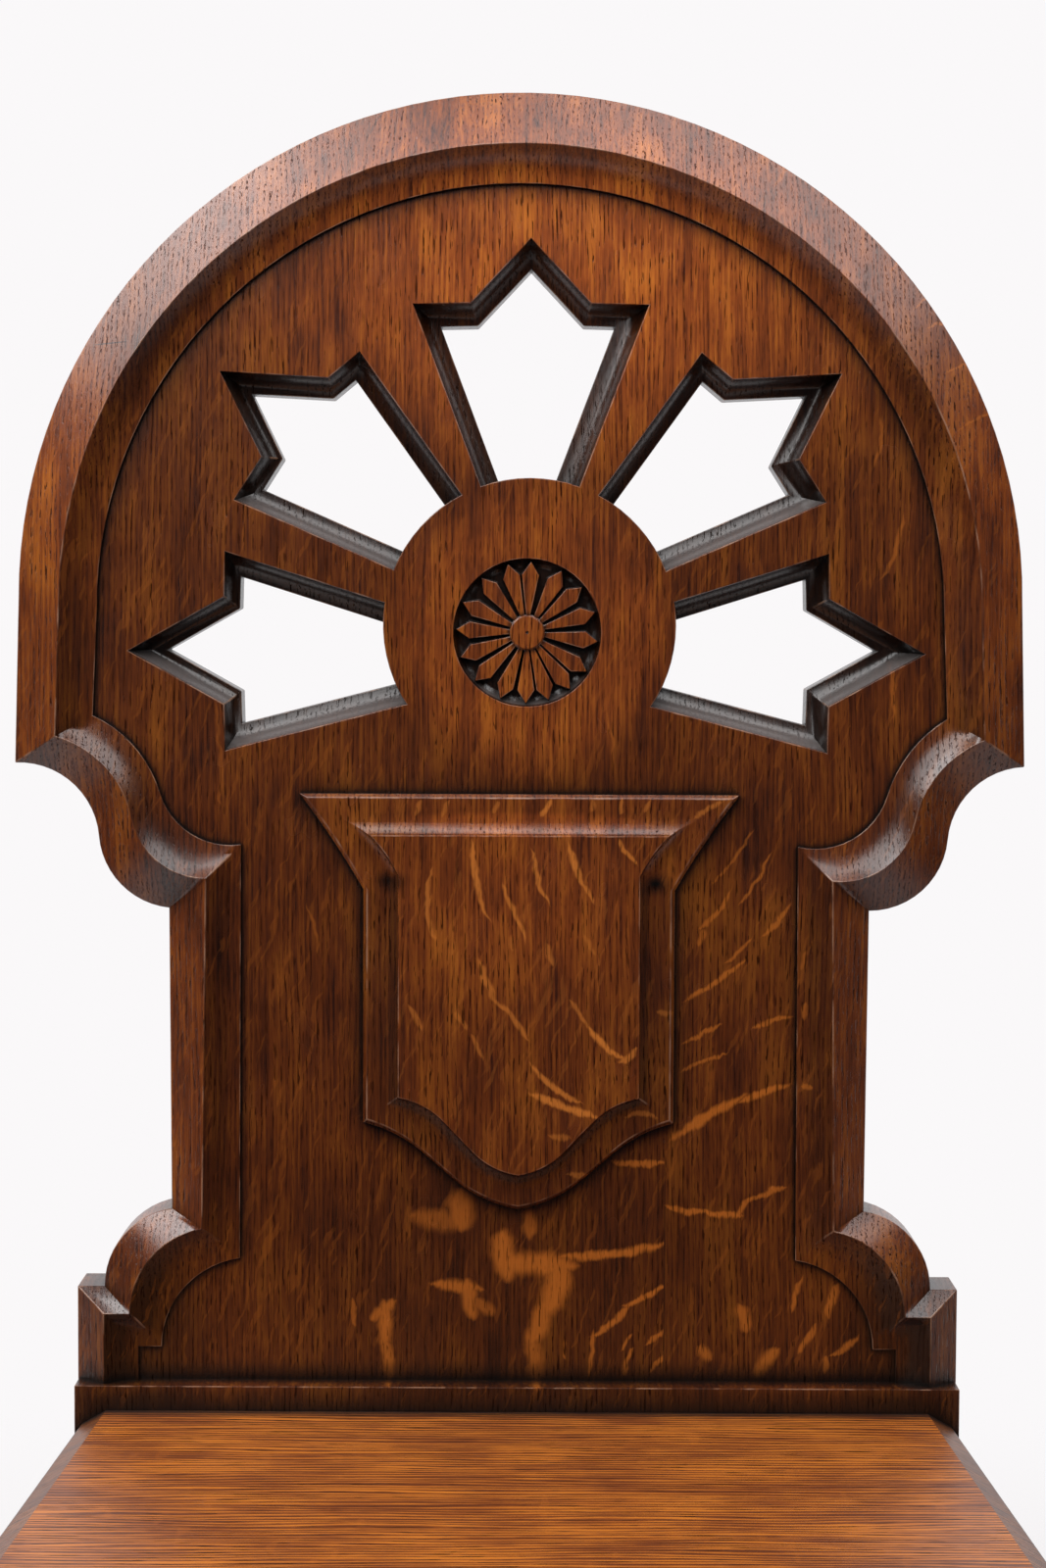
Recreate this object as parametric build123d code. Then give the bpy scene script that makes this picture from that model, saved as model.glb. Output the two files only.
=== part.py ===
from build123d import *
import math
import os

# Carved oak hall chair. Lengths are in millimetres and angles in degrees.
# The front faces -Y, and left and right are as seen from the front.
# Heights of the back are measured up its rake from the seat, and depths go
# back from the plinth's front plane, square to the board.

# Seat and stance
seat_height = 450.0
seat_depth = 385.0
seat_thickness = 22.0
seat_rear_half_width = 184.0
seat_front_half_width = 222.0
seat_corner_radius = 26.0
seat_bevel_width = 10.8
seat_bevel_drop = 6.0
seat_nose_radius = 2.6
seat_under_radius = 4.0
seat_rear_board_width = 128.0
seat_middle_board_width = 131.0

# Depths of the carving in the back
back_rake = 4.0
board_thickness = 38.0
ridge_depth = 3.0
step_depth = 10.0
field_depth = 12.0
bevel_edge_depth = 14.0

# Outer line of the back, as half widths and heights
arch_radius = 210.6
arch_centre_height = 341.6
arch_foot_half_width = 212.4
arch_foot_height = 272.5
turn_overhang = 29.6
right_turn_spread = 3.3
turn_drop = 30.8
turn_lean = 4.5
hip_half_width = 147.7
hip_drop = 30.3
heel_half_width = 146.9
heel_height = 83.3
scroll_half_width = 175.6
block_half_width = 187.0
block_height = 49.8

# Bevel, from the outer line in to the ridge line
bevel_arch_width = 18.5
bevel_arch_drop = 4.0
bevel_foot_rise = 11.6
bevel_turn_width = 15.4
bevel_turn_rise = 8.1
bevel_turn_lean = 6.7
bevel_hip_width = 16.6
bevel_hip_rise = 13.5
bevel_heel_width = 13.9
bevel_heel_drop = 6.4
bevel_scroll_width = 12.1
bevel_block_width = 12.5
bevel_block_drop = 9.4

# Cove, from the ridge line in to the step at the edge of the sunk field
cove_arch_width = 15.0
cove_arch_drop = 0.5
cove_foot_rise = 8.6
cove_turn_width = 11.0
cove_turn_rise = 10.6
cove_turn_lean = 5.2
cove_hip_width = 14.2
cove_hip_rise = 13.9
cove_heel_width = 15.5
cove_heel_drop = 14.1
cove_scroll_width = 12.8
cove_block_width = 14.0
cove_block_drop = 15.7
cove_bands = 4

# Plinth, and the planks of the back
plinth_half_length = 186.5
plinth_height = 10.5
left_joint_offset = 65.5
right_joint_offset = 62.0

# Tracery: the hub disc and the openings round it
tracery_offset = 3.85
hub_height = 331.3
hub_radius = 61.45
opening_hollow_depth = 11.0
opening_bands = 5

# Top opening, along and across its axis from the hub's centre
top_shoulder_reach = 133.3
top_shoulder_width = 49.1
top_notch_reach = 133.9
top_notch_width = 25.1
top_point_reach = 160.6
top_meeting_reach = 3.3

# Upper pair of openings, with the wide flank towards the top
pair_angle = 40.3
pair_shoulder_reach = 127.8
pair_shoulder_width = 40.4
pair_notch_reach = 130.7
pair_upper_notch_width = 23.8
pair_lower_notch_width = 19.4
pair_point_reach = 166.6
pair_point_offset = 3.6
pair_meeting_reach = 19.0
pair_meeting_offset = 3.8

# Side pair of openings, on a level axis below the hub's centre
side_pair_offset = 2.6
side_drop = 11.5
side_shoulder_reach = 126.3
side_shoulder_width = 41.6
side_notch_reach = 126.8
side_upper_notch_width = 22.8
side_lower_notch_width = 22.2
side_point_reach = 166.8
side_meeting_reach = 18.5
side_meeting_offset = 4.0

# Widths of the hollow along the sides of each opening, anticlockwise from the hub
top_hollow_widths = (10.1, 8.4, 7.8, 8.0, 8.6, 7.6)
right_pair_hollow_widths = (9.1, 10.4, 8.7, 7.7, 7.9, 7.2)
left_pair_hollow_widths = (8.2, 7.0, 7.9, 7.2, 6.9, 8.7)
right_side_hollow_widths = (8.8, 8.3, 10.0, 8.4, 8.8, 7.4)
left_side_hollow_widths = (8.1, 5.9, 7.1, 7.7, 6.4, 9.1)

# Rosette, with the bearing of each petal as it was cut by eye
rosette_offset = 2.85
rosette_height = 328.1
recess_radius = 31.0
recess_hollow_width = 4.0
recess_depth = 5.0
petal_bearings = (17, 40, 61, 87, 106, 130, 155, 177.5, 200.5, 223, 248, 269, 288, 307.5, 327, 353)
petal_top_drop = 0.8
petal_tip_radius = 29.9
petal_wide_radius = 24.2
petal_wide_half_width = 3.65
petal_root_radius = 5.0
petal_root_half_width = 0.6
petal_flank_spread = 0.6
button_radius = 7.6
button_top_drop = 0.2
button_bevel = 1.0
button_dimple_radius = 0.7
button_dimple_depth = 0.8

# Shield: outline first, then the raised panel inside it
shield_band_depth = 7.5
shield_panel_depth = 3.0
shield_edge_bevel = 1.6
shield_ear_half_width = 92.5
shield_top_height = 260.4
shield_side_half_width = 65.5
shield_shoulder_height = 220.0
shield_flank_hollow = 1.0
shield_corner_height = 121.3
shield_sweep_half_width = 40.0
shield_sweep_height = 108.3
shield_turn_half_width = 27.3
shield_turn_height = 97.3
shield_tip_height = 84.5
panel_ear_half_width = 62.5
panel_top_height = 243.3
panel_side_half_width = 50.6
panel_shoulder_height = 226.7
panel_corner_height = 132.8
panel_sweep_half_width = 31.0
panel_sweep_height = 122.4
panel_turn_half_width = 19.0
panel_turn_height = 109.8
panel_tip_height = 100.1
shield_band_share = 0.52
shield_bands = 4

# Legs
leg_size = 42.0
leg_foot_size = 30.0
leg_side_inset = 15.0
leg_front_inset = 18.0
leg_chamfer = 5.5
leg_chamfer_stop = 26.0
rear_knee_drop = 22.0
rear_foot_size = 32.0

# Rails, their tenons and pegs
rail_thickness = 22.0
rail_height = 60.0
rail_edge_bead = 3.0
tenon_thickness = 9.0
tenon_height = 44.0
tenon_length = 15.0
peg_radius = 3.2
peg_past_tenon = 4.0

# Corner blocks
block_wing = 56.0
corner_block_height = 30.0
block_screw_reach = 38.0
block_screw_seat = 11.0
seat_screw_along = 19.0
seat_screw_across = 26.0

# Screws and dowels
screw_head_radius = 4.0
screw_head_height = 2.4
screw_shank_radius = 2.1
screw_slot_width = 1.1
screw_slot_depth = 1.0
screw_bite = 14.0
back_screw_sink = 8.0
back_screw_inner = 40.0
back_screw_outer = 120.0
shield_screw_offset = 28.0
shield_screw_low = 150.0
shield_screw_high = 215.0
shield_screw_bite = 6.0
dowel_radius = 4.0
dowel_length = 50.0
back_dowel_heights = (-20.0, 70.0, 165.0)
seat_dowel_radius = 3.5
seat_dowel_length = 44.0
seat_dowel_spacing = 130.0

# Working values for cuts and loose fits
fit_gap = 0.2
overrun = 20.0

# Values that follow from the sizes above
rake = math.radians(back_rake)
arch_top_height = arch_centre_height + arch_radius
turn_half_width = hip_half_width + turn_overhang
turn_height = arch_foot_height - turn_drop
hip_height = turn_height - hip_drop
back_reach = arch_top_height * math.sin(rake) + board_thickness * math.cos(rake)
back_face_y = (seat_depth - back_reach) / 2
seat_underside = seat_height - seat_thickness
tail_drop = (seat_thickness + rail_height) / math.cos(rake)
tail_lean = tail_drop * math.sin(rake)
seat_flare = (seat_front_half_width - seat_rear_half_width) / seat_depth
tail_screw_bite = board_thickness - back_screw_sink + screw_bite
shield_screw_length = board_thickness - back_screw_sink - field_depth + shield_screw_bite
block_screw_bite = block_screw_seat + screw_bite
seat_screw_bite = corner_block_height + screw_bite

# Plan of the frame: leg middles and the faces that the rails run between
front_leg_x = seat_front_half_width - leg_side_inset - leg_size / 2
front_leg_y = leg_front_inset + leg_size / 2 - seat_depth
rear_leg_x = seat_rear_half_width - leg_side_inset - leg_size / 2
rear_leg_front = -(leg_size + tail_lean)
rear_leg_y = rear_leg_front + leg_size / 2
rear_rail_inner = -(rail_thickness + tail_lean)
rear_tenon_y = rear_rail_inner + rail_thickness / 2
rail_middle = seat_underside - rail_height / 2
side_run = (front_leg_x - rear_leg_x) / (front_leg_y - rear_leg_y)

# Shapes that stand on their place, and shapes that hang from it
standing = (Align.CENTER, Align.CENTER, Align.MIN)
hanging = (Align.CENTER, Align.CENTER, Align.MAX)

# Places of the raked back in the frame of the seat, and of the chair on its feet
back_place = Pos(0, 0, seat_height) * Rot(90 - back_rake, 0, 0)
chair_place = Pos(0, back_face_y, 0)


def section(face, depth):
    """Lay a face of the back at a depth behind the plinth's front plane."""
    return Pos(0, 0, -depth) * face


def slab(face, front, rear):
    """Solid between two depths of the back."""
    return extrude(section(face, front), amount=rear - front, dir=(0, 0, -1))


def carved_face(bevel_share, cove_share, bottom):
    """Face inside the line that lies at these shares of the bevel and the cove."""
    def at(edge, bevel, cove):
        return edge + bevel * bevel_share + cove * cove_share

    radius = at(arch_radius, -bevel_arch_width, -cove_arch_width)
    centre = at(arch_centre_height, -bevel_arch_drop, -cove_arch_drop)
    foot_x = at(arch_foot_half_width, -bevel_arch_width, -cove_arch_width)
    foot_height = at(arch_foot_height, bevel_foot_rise, cove_foot_rise)
    turn_x = at(turn_half_width, -bevel_turn_width, -cove_turn_width)
    turn_s = at(turn_height, bevel_turn_rise, cove_turn_rise)
    lean = math.radians(at(turn_lean, bevel_turn_lean, cove_turn_lean))
    hip_x = at(hip_half_width, -bevel_hip_width, -cove_hip_width)
    hip_s = at(hip_height, bevel_hip_rise, cove_hip_rise)
    heel_x = at(heel_half_width, -bevel_heel_width, -cove_heel_width)
    heel_s = at(heel_height, -bevel_heel_drop, -cove_heel_drop)
    scroll_x = at(scroll_half_width, -bevel_scroll_width, -cove_scroll_width)
    block_x = at(block_half_width, -bevel_block_width, -cove_block_width)
    block_s = at(block_height, -bevel_block_drop, -cove_block_drop)

    edges = [ThreePointArc((-radius, centre), (0, centre + radius), (radius, centre))]
    for side, spread in ((1, right_turn_spread), (-1, 0)):
        foot = (side * foot_x, foot_height)
        turn = (side * (turn_x + spread), turn_s)
        hip = (side * hip_x, hip_s)
        heel = (side * heel_x, heel_s)
        scroll_end = (side * scroll_x, block_s)
        block = (side * block_x, block_s)
        upward = (side * math.sin(lean), math.cos(lean))
        downward = (-side * math.sin(lean), -math.cos(lean))
        edges += [
            Line((side * radius, centre), foot),
            TangentArc(turn, foot, tangent=upward),
            TangentArc(turn, hip, tangent=downward),
            Line(hip, heel),
            TangentArc(scroll_end, heel, tangent=(0, 1)),
            Line(scroll_end, block),
            Line(block, (side * block_x, bottom)),
        ]
    edges.append(Line((-block_x, bottom), (block_x, bottom)))
    return make_face(edges)


def cove_sections():
    """Sections of the hollow between ridge and step, a circular arc in profile."""
    sweep = 2 * math.atan2(step_depth - ridge_depth, cove_arch_width)
    sections = []
    for band in range(cove_bands + 1):
        angle = sweep * (1 - band / cove_bands)
        across = 1 - math.sin(angle) / math.sin(sweep)
        down = (math.cos(angle) - math.cos(sweep)) / (1 - math.cos(sweep))
        depth = ridge_depth + (step_depth - ridge_depth) * down
        sections.append(section(carved_face(1, across, -overrun), depth))
    return sections


def inset(points, amounts):
    """Move each side of a closed outline inwards by its own amount; the points run anticlockwise."""
    moved = []
    count = len(points)
    for index in range(count):
        before = Vector(*points[index - 1])
        corner = Vector(*points[index])
        after = Vector(*points[(index + 1) % count])
        arriving = (corner - before).normalized()
        leaving = (after - corner).normalized()
        first_normal = Vector(-arriving.Y, arriving.X)
        second_normal = Vector(-leaving.Y, leaving.X)
        first, second = amounts[index - 1], amounts[index]
        turn = first_normal.dot(second_normal)
        shift = first_normal * (first - second * turn) + second_normal * (second - first * turn)
        shifted = corner + shift * (1 / (1 - turn * turn))
        moved.append((shifted.X, shifted.Y))
    return moved


def opening_cutter(points, widths, place):
    """Cutter for one opening: a hollow of given widths from the field, then straight through."""
    def outline(share):
        return place * make_face(Polyline(*inset(points, [width * share for width in widths]), close=True))

    sections = []
    for band in range(opening_bands + 1):
        angle = math.pi / 2 * band / opening_bands
        depth = field_depth + opening_hollow_depth * math.sin(angle)
        sections.append(section(outline(1 - math.cos(angle)), depth))
    cutter = loft(sections, ruled=True)
    cutter += slab(outline(0), -overrun, field_depth)
    cutter += slab(outline(1), field_depth + opening_hollow_depth, board_thickness + overrun)
    return cutter


def opening_cutters():
    """The five openings; the hub disc stands clear of all of them."""
    hub_centre = Pos(tracery_offset, hub_height)
    side_centre = Pos(side_pair_offset, hub_height - side_drop)
    top = [
        (top_meeting_reach, 0),
        (top_shoulder_reach, -top_shoulder_width),
        (top_notch_reach, -top_notch_width),
        (top_point_reach, 0),
        (top_notch_reach, top_notch_width),
        (top_shoulder_reach, top_shoulder_width),
    ]
    cutters = [opening_cutter(top, top_hollow_widths, hub_centre * Rot(0, 0, 90))]
    for side in (1, -1):
        on_right = side > 0
        pair = [
            (-pair_meeting_reach, side * pair_meeting_offset),
            (pair_shoulder_reach, -pair_shoulder_width),
            (pair_notch_reach, -(pair_lower_notch_width if on_right else pair_upper_notch_width)),
            (pair_point_reach, -side * pair_point_offset),
            (pair_notch_reach, pair_upper_notch_width if on_right else pair_lower_notch_width),
            (pair_shoulder_reach, pair_shoulder_width),
        ]
        widths = right_pair_hollow_widths if on_right else left_pair_hollow_widths
        angle = 90 - side * (90 - pair_angle)
        cutters.append(opening_cutter(pair, widths, hub_centre * Rot(0, 0, angle)))
        level = [
            (-side_meeting_reach, -side * side_meeting_offset),
            (side_shoulder_reach, -side_shoulder_width),
            (side_notch_reach, -(side_lower_notch_width if on_right else side_upper_notch_width)),
            (side_point_reach, 0),
            (side_notch_reach, side_upper_notch_width if on_right else side_lower_notch_width),
            (side_shoulder_reach, side_shoulder_width),
        ]
        widths = right_side_hollow_widths if on_right else left_side_hollow_widths
        angle = 90 - side * 90
        cutters.append(opening_cutter(level, widths, side_centre * Rot(0, 0, angle)))
    hub = slab(hub_centre * Circle(hub_radius), -overrun, board_thickness + overrun)
    return [cutter - hub for cutter in cutters]


def petal_face(grow):
    """Pointed petal along +X, widened on every side by the slope of its flanks."""
    wide = petal_wide_half_width + grow
    root = petal_root_half_width + grow
    return make_face(Polyline(
        (petal_root_radius, -root),
        (petal_wide_radius, -wide),
        (petal_tip_radius + grow, 0),
        (petal_wide_radius, wide),
        (petal_root_radius, root),
        close=True,
    ))


def rosette():
    """Cutter for the round recess with its hollow wall, and the petals and button that stand in it."""
    centre = Pos(rosette_offset, rosette_height)
    floor = field_depth + recess_depth
    floor_radius = recess_radius - recess_hollow_width
    profile = make_face([
        Line((0, overrun), (recess_radius, overrun)),
        Line((recess_radius, overrun), (recess_radius, -field_depth)),
        TangentArc((recess_radius, -field_depth), (floor_radius, -floor), tangent=(0, -1)),
        Line((floor_radius, -floor), (0, -floor)),
        Line((0, -floor), (0, overrun)),
    ])
    recess = centre * revolve(Plane.XZ * profile, Axis.Z)
    top = section(petal_face(0), field_depth + petal_top_drop)
    base = section(petal_face(petal_flank_spread), floor)
    petal = loft([base, top], ruled=True)
    petals = [centre * Rot(0, 0, bearing) * petal for bearing in petal_bearings]
    button_top = field_depth + button_top_drop
    button = slab(Circle(button_radius), button_top, floor)
    button = chamfer(button.edges().sort_by(Axis.Z)[-1], button_bevel)
    dimple = Cone(0, button_dimple_radius, button_dimple_depth, align=hanging)
    dimple = Pos(0, 0, -button_top) * dimple
    return recess, petals + [centre * (button - dimple)]


def screw(bite):
    """Slotted screw: the head rests on z = 0 and the shank goes down."""
    head = Cylinder(screw_head_radius, screw_head_height, align=standing)
    shank = Cylinder(screw_shank_radius, bite, align=hanging)
    slot = Box(2 * screw_head_radius, screw_slot_width, screw_slot_depth, align=hanging)
    return head + shank - Pos(0, 0, screw_head_height) * slot


def screw_room(bite):
    """Hole for a screw, with room above its head."""
    bore = Cylinder(screw_shank_radius + fit_gap, bite + fit_gap, align=hanging)
    well = Cylinder(screw_head_radius + fit_gap, overrun, align=standing)
    return bore + well


def dowel_pair(radius, length, place):
    """A dowel along X and its hole, centred at a place."""
    turn = Rot(0, 90, 0)
    return place * turn * Cylinder(radius, length), place * turn * Cylinder(radius + fit_gap, length)


def back_fixings():
    """Screw places in the tail and under the shield, in the frame of the back."""
    from_behind = Rot(180, 0, 0)
    seat = -(board_thickness - back_screw_sink)
    rail_level = -(tail_drop - rail_height / 2)
    tail = [
        Pos(side * offset, rail_level, seat) * from_behind
        for side in (1, -1)
        for offset in (back_screw_inner, back_screw_outer)
    ]
    shield = [
        Pos(side * shield_screw_offset, height, seat) * from_behind
        for side in (1, -1)
        for height in (shield_screw_low, shield_screw_high)
    ]
    return tail, shield


def back_dowels():
    """Dowels across the two glue joints of the back."""
    depth = (field_depth + board_thickness) / 2
    return [
        dowel_pair(dowel_radius, dowel_length, Pos(joint, height, -depth))
        for joint in (-left_joint_offset, right_joint_offset)
        for height in back_dowel_heights
    ]


def whole_back():
    """The carved back in one piece, before it is parted at the glue joints."""
    outer = carved_face(0, 0, 0)
    blank = slab(outer, bevel_edge_depth, board_thickness)
    ridge = section(carved_face(1, 0, 0), ridge_depth)
    blank += loft([section(outer, bevel_edge_depth), ridge], ruled=True)
    blank -= loft(cove_sections(), ruled=True)
    blank -= slab(carved_face(1, 1, -overrun), -overrun, field_depth)
    plinth = Pos(0, (plinth_height - tail_drop) / 2) * Rectangle(
        2 * plinth_half_length, plinth_height + tail_drop)
    blank += slab(plinth, 0, board_thickness)
    for cutter in opening_cutters():
        blank -= cutter
    recess, ornaments = rosette()
    blank -= recess
    for ornament in ornaments:
        blank += ornament
    tail, shield = back_fixings()
    for place in tail:
        blank -= place * screw_room(tail_screw_bite)
    for place in shield:
        blank -= place * screw_room(shield_screw_length)
    for dowel, hole in back_dowels():
        blank -= hole
    return blank


def plank(board, left, right):
    """The part of the back between two upright planes."""
    room = arch_radius + arch_top_height + tail_drop
    slice_face = Pos((left + right) / 2, 0) * Rectangle(right - left, 2 * room)
    return board & slab(slice_face, -overrun, board_thickness + overrun)


def shield_face(share, grow):
    """Face at a share of the way from the shield's outline to its panel, less an edge."""
    def at(outline, panel):
        return outline + (panel - outline) * share

    top = at(shield_top_height, panel_top_height) - grow
    ear_x = at(shield_ear_half_width, panel_ear_half_width) - 2 * grow
    side_x = at(shield_side_half_width, panel_side_half_width) - grow
    shoulder_s = at(shield_shoulder_height, panel_shoulder_height)
    corner_s = at(shield_corner_height, panel_corner_height) + grow
    sweep_x = at(shield_sweep_half_width, panel_sweep_half_width)
    sweep_s = at(shield_sweep_height, panel_sweep_height) + grow
    turn_x = at(shield_turn_half_width, panel_turn_half_width)
    turn_s = at(shield_turn_height, panel_turn_height) + grow
    tip = (0, at(shield_tip_height, panel_tip_height) + grow)
    edges = [Line((-ear_x, top), (ear_x, top))]
    for side in (1, -1):
        ear = (side * ear_x, top)
        shoulder = (side * side_x, shoulder_s)
        middle_x = (ear_x + side_x) / 2 - shield_flank_hollow
        corner = (side * side_x, corner_s)
        sweep = (side * sweep_x, sweep_s)
        turn = (side * turn_x, turn_s)
        outward = (side * (sweep_x - turn_x), sweep_s - turn_s)
        inward = (side * (turn_x - sweep_x), turn_s - sweep_s)
        edges += [
            ThreePointArc(ear, (side * middle_x, (top + shoulder_s) / 2), shoulder),
            Line(shoulder, corner),
            TangentArc(sweep, corner, tangent=outward),
            Line(sweep, turn),
            TangentArc(turn, tip, tangent=inward),
        ]
    return make_face(edges)


def shield_cartouche():
    """Applied shield: a flat band with a worn edge and a panel raised by a hollow."""
    bevel_depth = shield_band_depth + shield_edge_bevel
    body = slab(shield_face(0, 0), bevel_depth, field_depth)
    body += loft([section(shield_face(0, 0), bevel_depth),
                  section(shield_face(0, shield_edge_bevel), shield_band_depth)], ruled=True)
    sections = []
    for band in range(shield_bands + 1):
        angle = math.pi / 2 * band / shield_bands
        share = shield_band_share + (1 - shield_band_share) * math.sin(angle)
        rise = (shield_band_depth - shield_panel_depth) * (1 - math.cos(angle))
        sections.append(section(shield_face(share, 0), shield_band_depth - rise))
    body += loft(sections, ruled=True)
    for place in back_fixings()[1]:
        body -= place * screw_room(shield_screw_length)
    return back_place * body


def behind_plane():
    """Everything behind the back's front plane, for cuts that bed against it."""
    reach = 2 * seat_front_half_width
    return back_place * slab(Rectangle(2 * reach, 2 * reach), 0, reach)


def seat_face(edge):
    """Seat outline, moved in by an edge on the sides and in front."""
    rear = overrun
    front = edge - seat_depth
    rear_x = seat_rear_half_width - edge - seat_flare * rear
    front_x = seat_rear_half_width - edge - seat_flare * front
    outline = Polyline((-rear_x, rear), (-front_x, front), (front_x, front), (rear_x, rear), close=True)
    front_corners = make_face(outline).vertices().sort_by(Axis.Y)[:2]
    return fillet(front_corners, seat_corner_radius - edge)


def seat_dowels():
    """Dowels across the two glue joints of the seat."""
    level = seat_height - seat_thickness / 2
    rear_joint = -seat_rear_board_width
    front_joint = rear_joint - seat_middle_board_width
    places = [
        Pos(step * seat_dowel_spacing, joint, level) * Rot(0, 0, 90)
        for joint in (rear_joint, front_joint)
        for step in (-1, 0, 1)
    ]
    return [dowel_pair(seat_dowel_radius, seat_dowel_length, place) for place in places]


def whole_seat():
    """The moulded seat in one piece, bedded against the back."""
    lower = Pos(0, 0, seat_underside) * extrude(seat_face(0), amount=seat_thickness - seat_bevel_drop)
    upper = loft([Pos(0, 0, seat_height - seat_bevel_drop) * seat_face(0),
                  Pos(0, 0, seat_height) * seat_face(seat_bevel_width)], ruled=True)
    body = lower + upper
    upright_edges_and_up = body.edges().group_by(Axis.Z)[1:]
    body = fillet(upright_edges_and_up[1], seat_nose_radius)
    body = fillet(body.edges().group_by(Axis.Z)[0], seat_under_radius)
    body -= behind_plane()
    for place in seat_screw_places():
        body -= place * screw_room(seat_screw_bite)
    for dowel, hole in seat_dowels():
        body -= hole
    return body


def seat_board(body, rear, front):
    """The part of the seat between two lines across it."""
    width = 2 * (seat_front_half_width + overrun)
    room = Box(width, rear - front, 2 * seat_thickness)
    return body & Pos(0, (rear + front) / 2, seat_height) * room


def side_x(y):
    """Distance of the side rail's middle line from the centre at a place along Y."""
    return rear_leg_x + side_run * (y - rear_leg_y)


def bar(start, end, thickness, height):
    """Upright bar in the seat frame, along a line in plan."""
    start = Vector(*start)
    end = Vector(*end)
    middle = (start + end) / 2
    angle = math.degrees(math.atan2(end.Y - start.Y, end.X - start.X))
    place = Pos(middle.X, middle.Y, rail_middle) * Rot(0, 0, angle)
    return place * Box((end - start).length, thickness, height)


def side_tenon(side):
    """Both tenons of a side rail and what joins them, as one bar."""
    rear = rear_leg_front + tenon_length
    front = front_leg_y + leg_size / 2 - tenon_length
    return bar((side * side_x(rear), rear), (side * side_x(front), front), tenon_thickness, tenon_height)


def front_tenon():
    """Both tenons of the front rail and what joins them."""
    end = front_leg_x - leg_size / 2 + tenon_length
    return bar((-end, front_leg_y), (end, front_leg_y), tenon_thickness, tenon_height)


def rear_tenon():
    """Both tenons of the rear rail and what joins them."""
    end = rear_leg_x - leg_size / 2 + tenon_length
    return bar((-end, rear_tenon_y), (end, rear_tenon_y), tenon_thickness, tenon_height)


def peg(x, y, direction, length):
    """A peg and its hole, from a face of a leg inwards."""
    place = Plane(origin=(x, y, rail_middle), z_dir=direction).location
    pin = place * Cylinder(peg_radius, length, align=standing)
    hole = place * Cylinder(peg_radius + fit_gap, length, align=standing)
    return pin, hole


def pegs():
    """One peg through each tenon."""
    half_leg = leg_size / 2
    past_middle = tenon_thickness / 2 + peg_past_tenon
    along_front = front_leg_x - half_leg + tenon_length / 2
    along_rear = rear_leg_x - half_leg + tenon_length / 2
    front_y = front_leg_y + half_leg - tenon_length / 2
    rear_y = rear_leg_front + tenon_length / 2
    length = half_leg + past_middle
    rear_length = rear_tenon_y - rear_leg_front + tenon_thickness / 2
    backward = (0, 1, 0)
    found = []
    for side in (1, -1):
        inward = (-side, 0, 0)
        found += [
            peg(side * along_front, front_leg_y - half_leg, backward, length),
            peg(side * (front_leg_x + half_leg), front_y, inward, length),
            peg(side * (rear_leg_x + half_leg), rear_y, inward, length),
            peg(side * along_rear, rear_leg_front, backward, rear_length),
        ]
    return found


def front_leg_body(side):
    """Square at the rails, tapering below them with stopped chamfers."""
    chamfer_top = seat_underside - rail_height - leg_chamfer_stop
    head_height = seat_underside - chamfer_top
    place = Pos(side * front_leg_x, front_leg_y, 0)
    head = place * Pos(0, 0, chamfer_top + head_height / 2) * Box(leg_size, leg_size, head_height)
    wide = chamfer(Rectangle(leg_size, leg_size).vertices(), leg_chamfer)
    narrow = chamfer(Rectangle(leg_foot_size, leg_foot_size).vertices(), leg_chamfer)
    shank = loft([place * narrow, place * Pos(0, 0, chamfer_top) * wide], ruled=True)
    return head + shank


def rear_leg_body(side):
    """Sawn leg: upright under the seat, raking back to the floor."""
    tail_bottom = seat_underside - rail_height
    knee = tail_bottom - rear_knee_drop
    profile = make_face(Polyline(
        (rear_leg_front, seat_underside),
        (0, seat_underside),
        (0, tail_bottom),
        (-tail_lean, tail_bottom),
        (back_reach, 0),
        (back_reach - rear_foot_size, 0),
        (rear_leg_front, knee),
        close=True,
    ))
    upright = Plane(origin=(side * rear_leg_x, 0, 0), x_dir=(0, 1, 0), z_dir=(1, 0, 0)).location
    leg = upright * extrude(profile, amount=leg_size / 2, both=True)
    room_height = 2 * seat_thickness + 2 * rail_height
    room = Box(4 * seat_front_half_width, 4 * seat_depth, room_height, align=standing)
    above_tail = Pos(0, 0, tail_bottom) * room
    return leg - (behind_plane() & above_tail)


def frame_cuts():
    """Every tenon and peg hole, for the mortises in the legs."""
    return [front_tenon(), rear_tenon(), side_tenon(1), side_tenon(-1)] + [hole for pin, hole in pegs()]


def leg(body):
    """A leg with its mortises."""
    for cut in frame_cuts():
        body -= cut
    return body


def leg_bodies():
    """All four legs before they are mortised."""
    return [front_leg_body(1), front_leg_body(-1), rear_leg_body(1), rear_leg_body(-1)]


def rail(body, tenon):
    """A rail with shoulders at the legs, its tenons and the holes in them."""
    for post in leg_bodies():
        body -= post
    body += tenon
    for pin, hole in pegs():
        body -= hole
    for place in block_screw_places():
        body -= place * screw_room(block_screw_bite)
    return body


def front_rail():
    """Rail under the front of the seat."""
    body = bar((-front_leg_x, front_leg_y), (front_leg_x, front_leg_y), rail_thickness, rail_height)
    low_edges = body.edges().filter_by(Axis.X).group_by(Axis.Z)[0]
    return rail(chamfer(low_edges, rail_edge_bead), front_tenon())


def side_rail(side):
    """Rail under one side of the seat."""
    start = (side * rear_leg_x, rear_leg_y)
    end = (side * front_leg_x, front_leg_y)
    body = bar(start, end, rail_thickness, rail_height)
    low_edges = body.edges().group_by(Axis.Z)[0]
    long_edges = low_edges.sort_by(SortBy.LENGTH)[-2:]
    return rail(chamfer(long_edges, rail_edge_bead), side_tenon(side))


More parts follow.
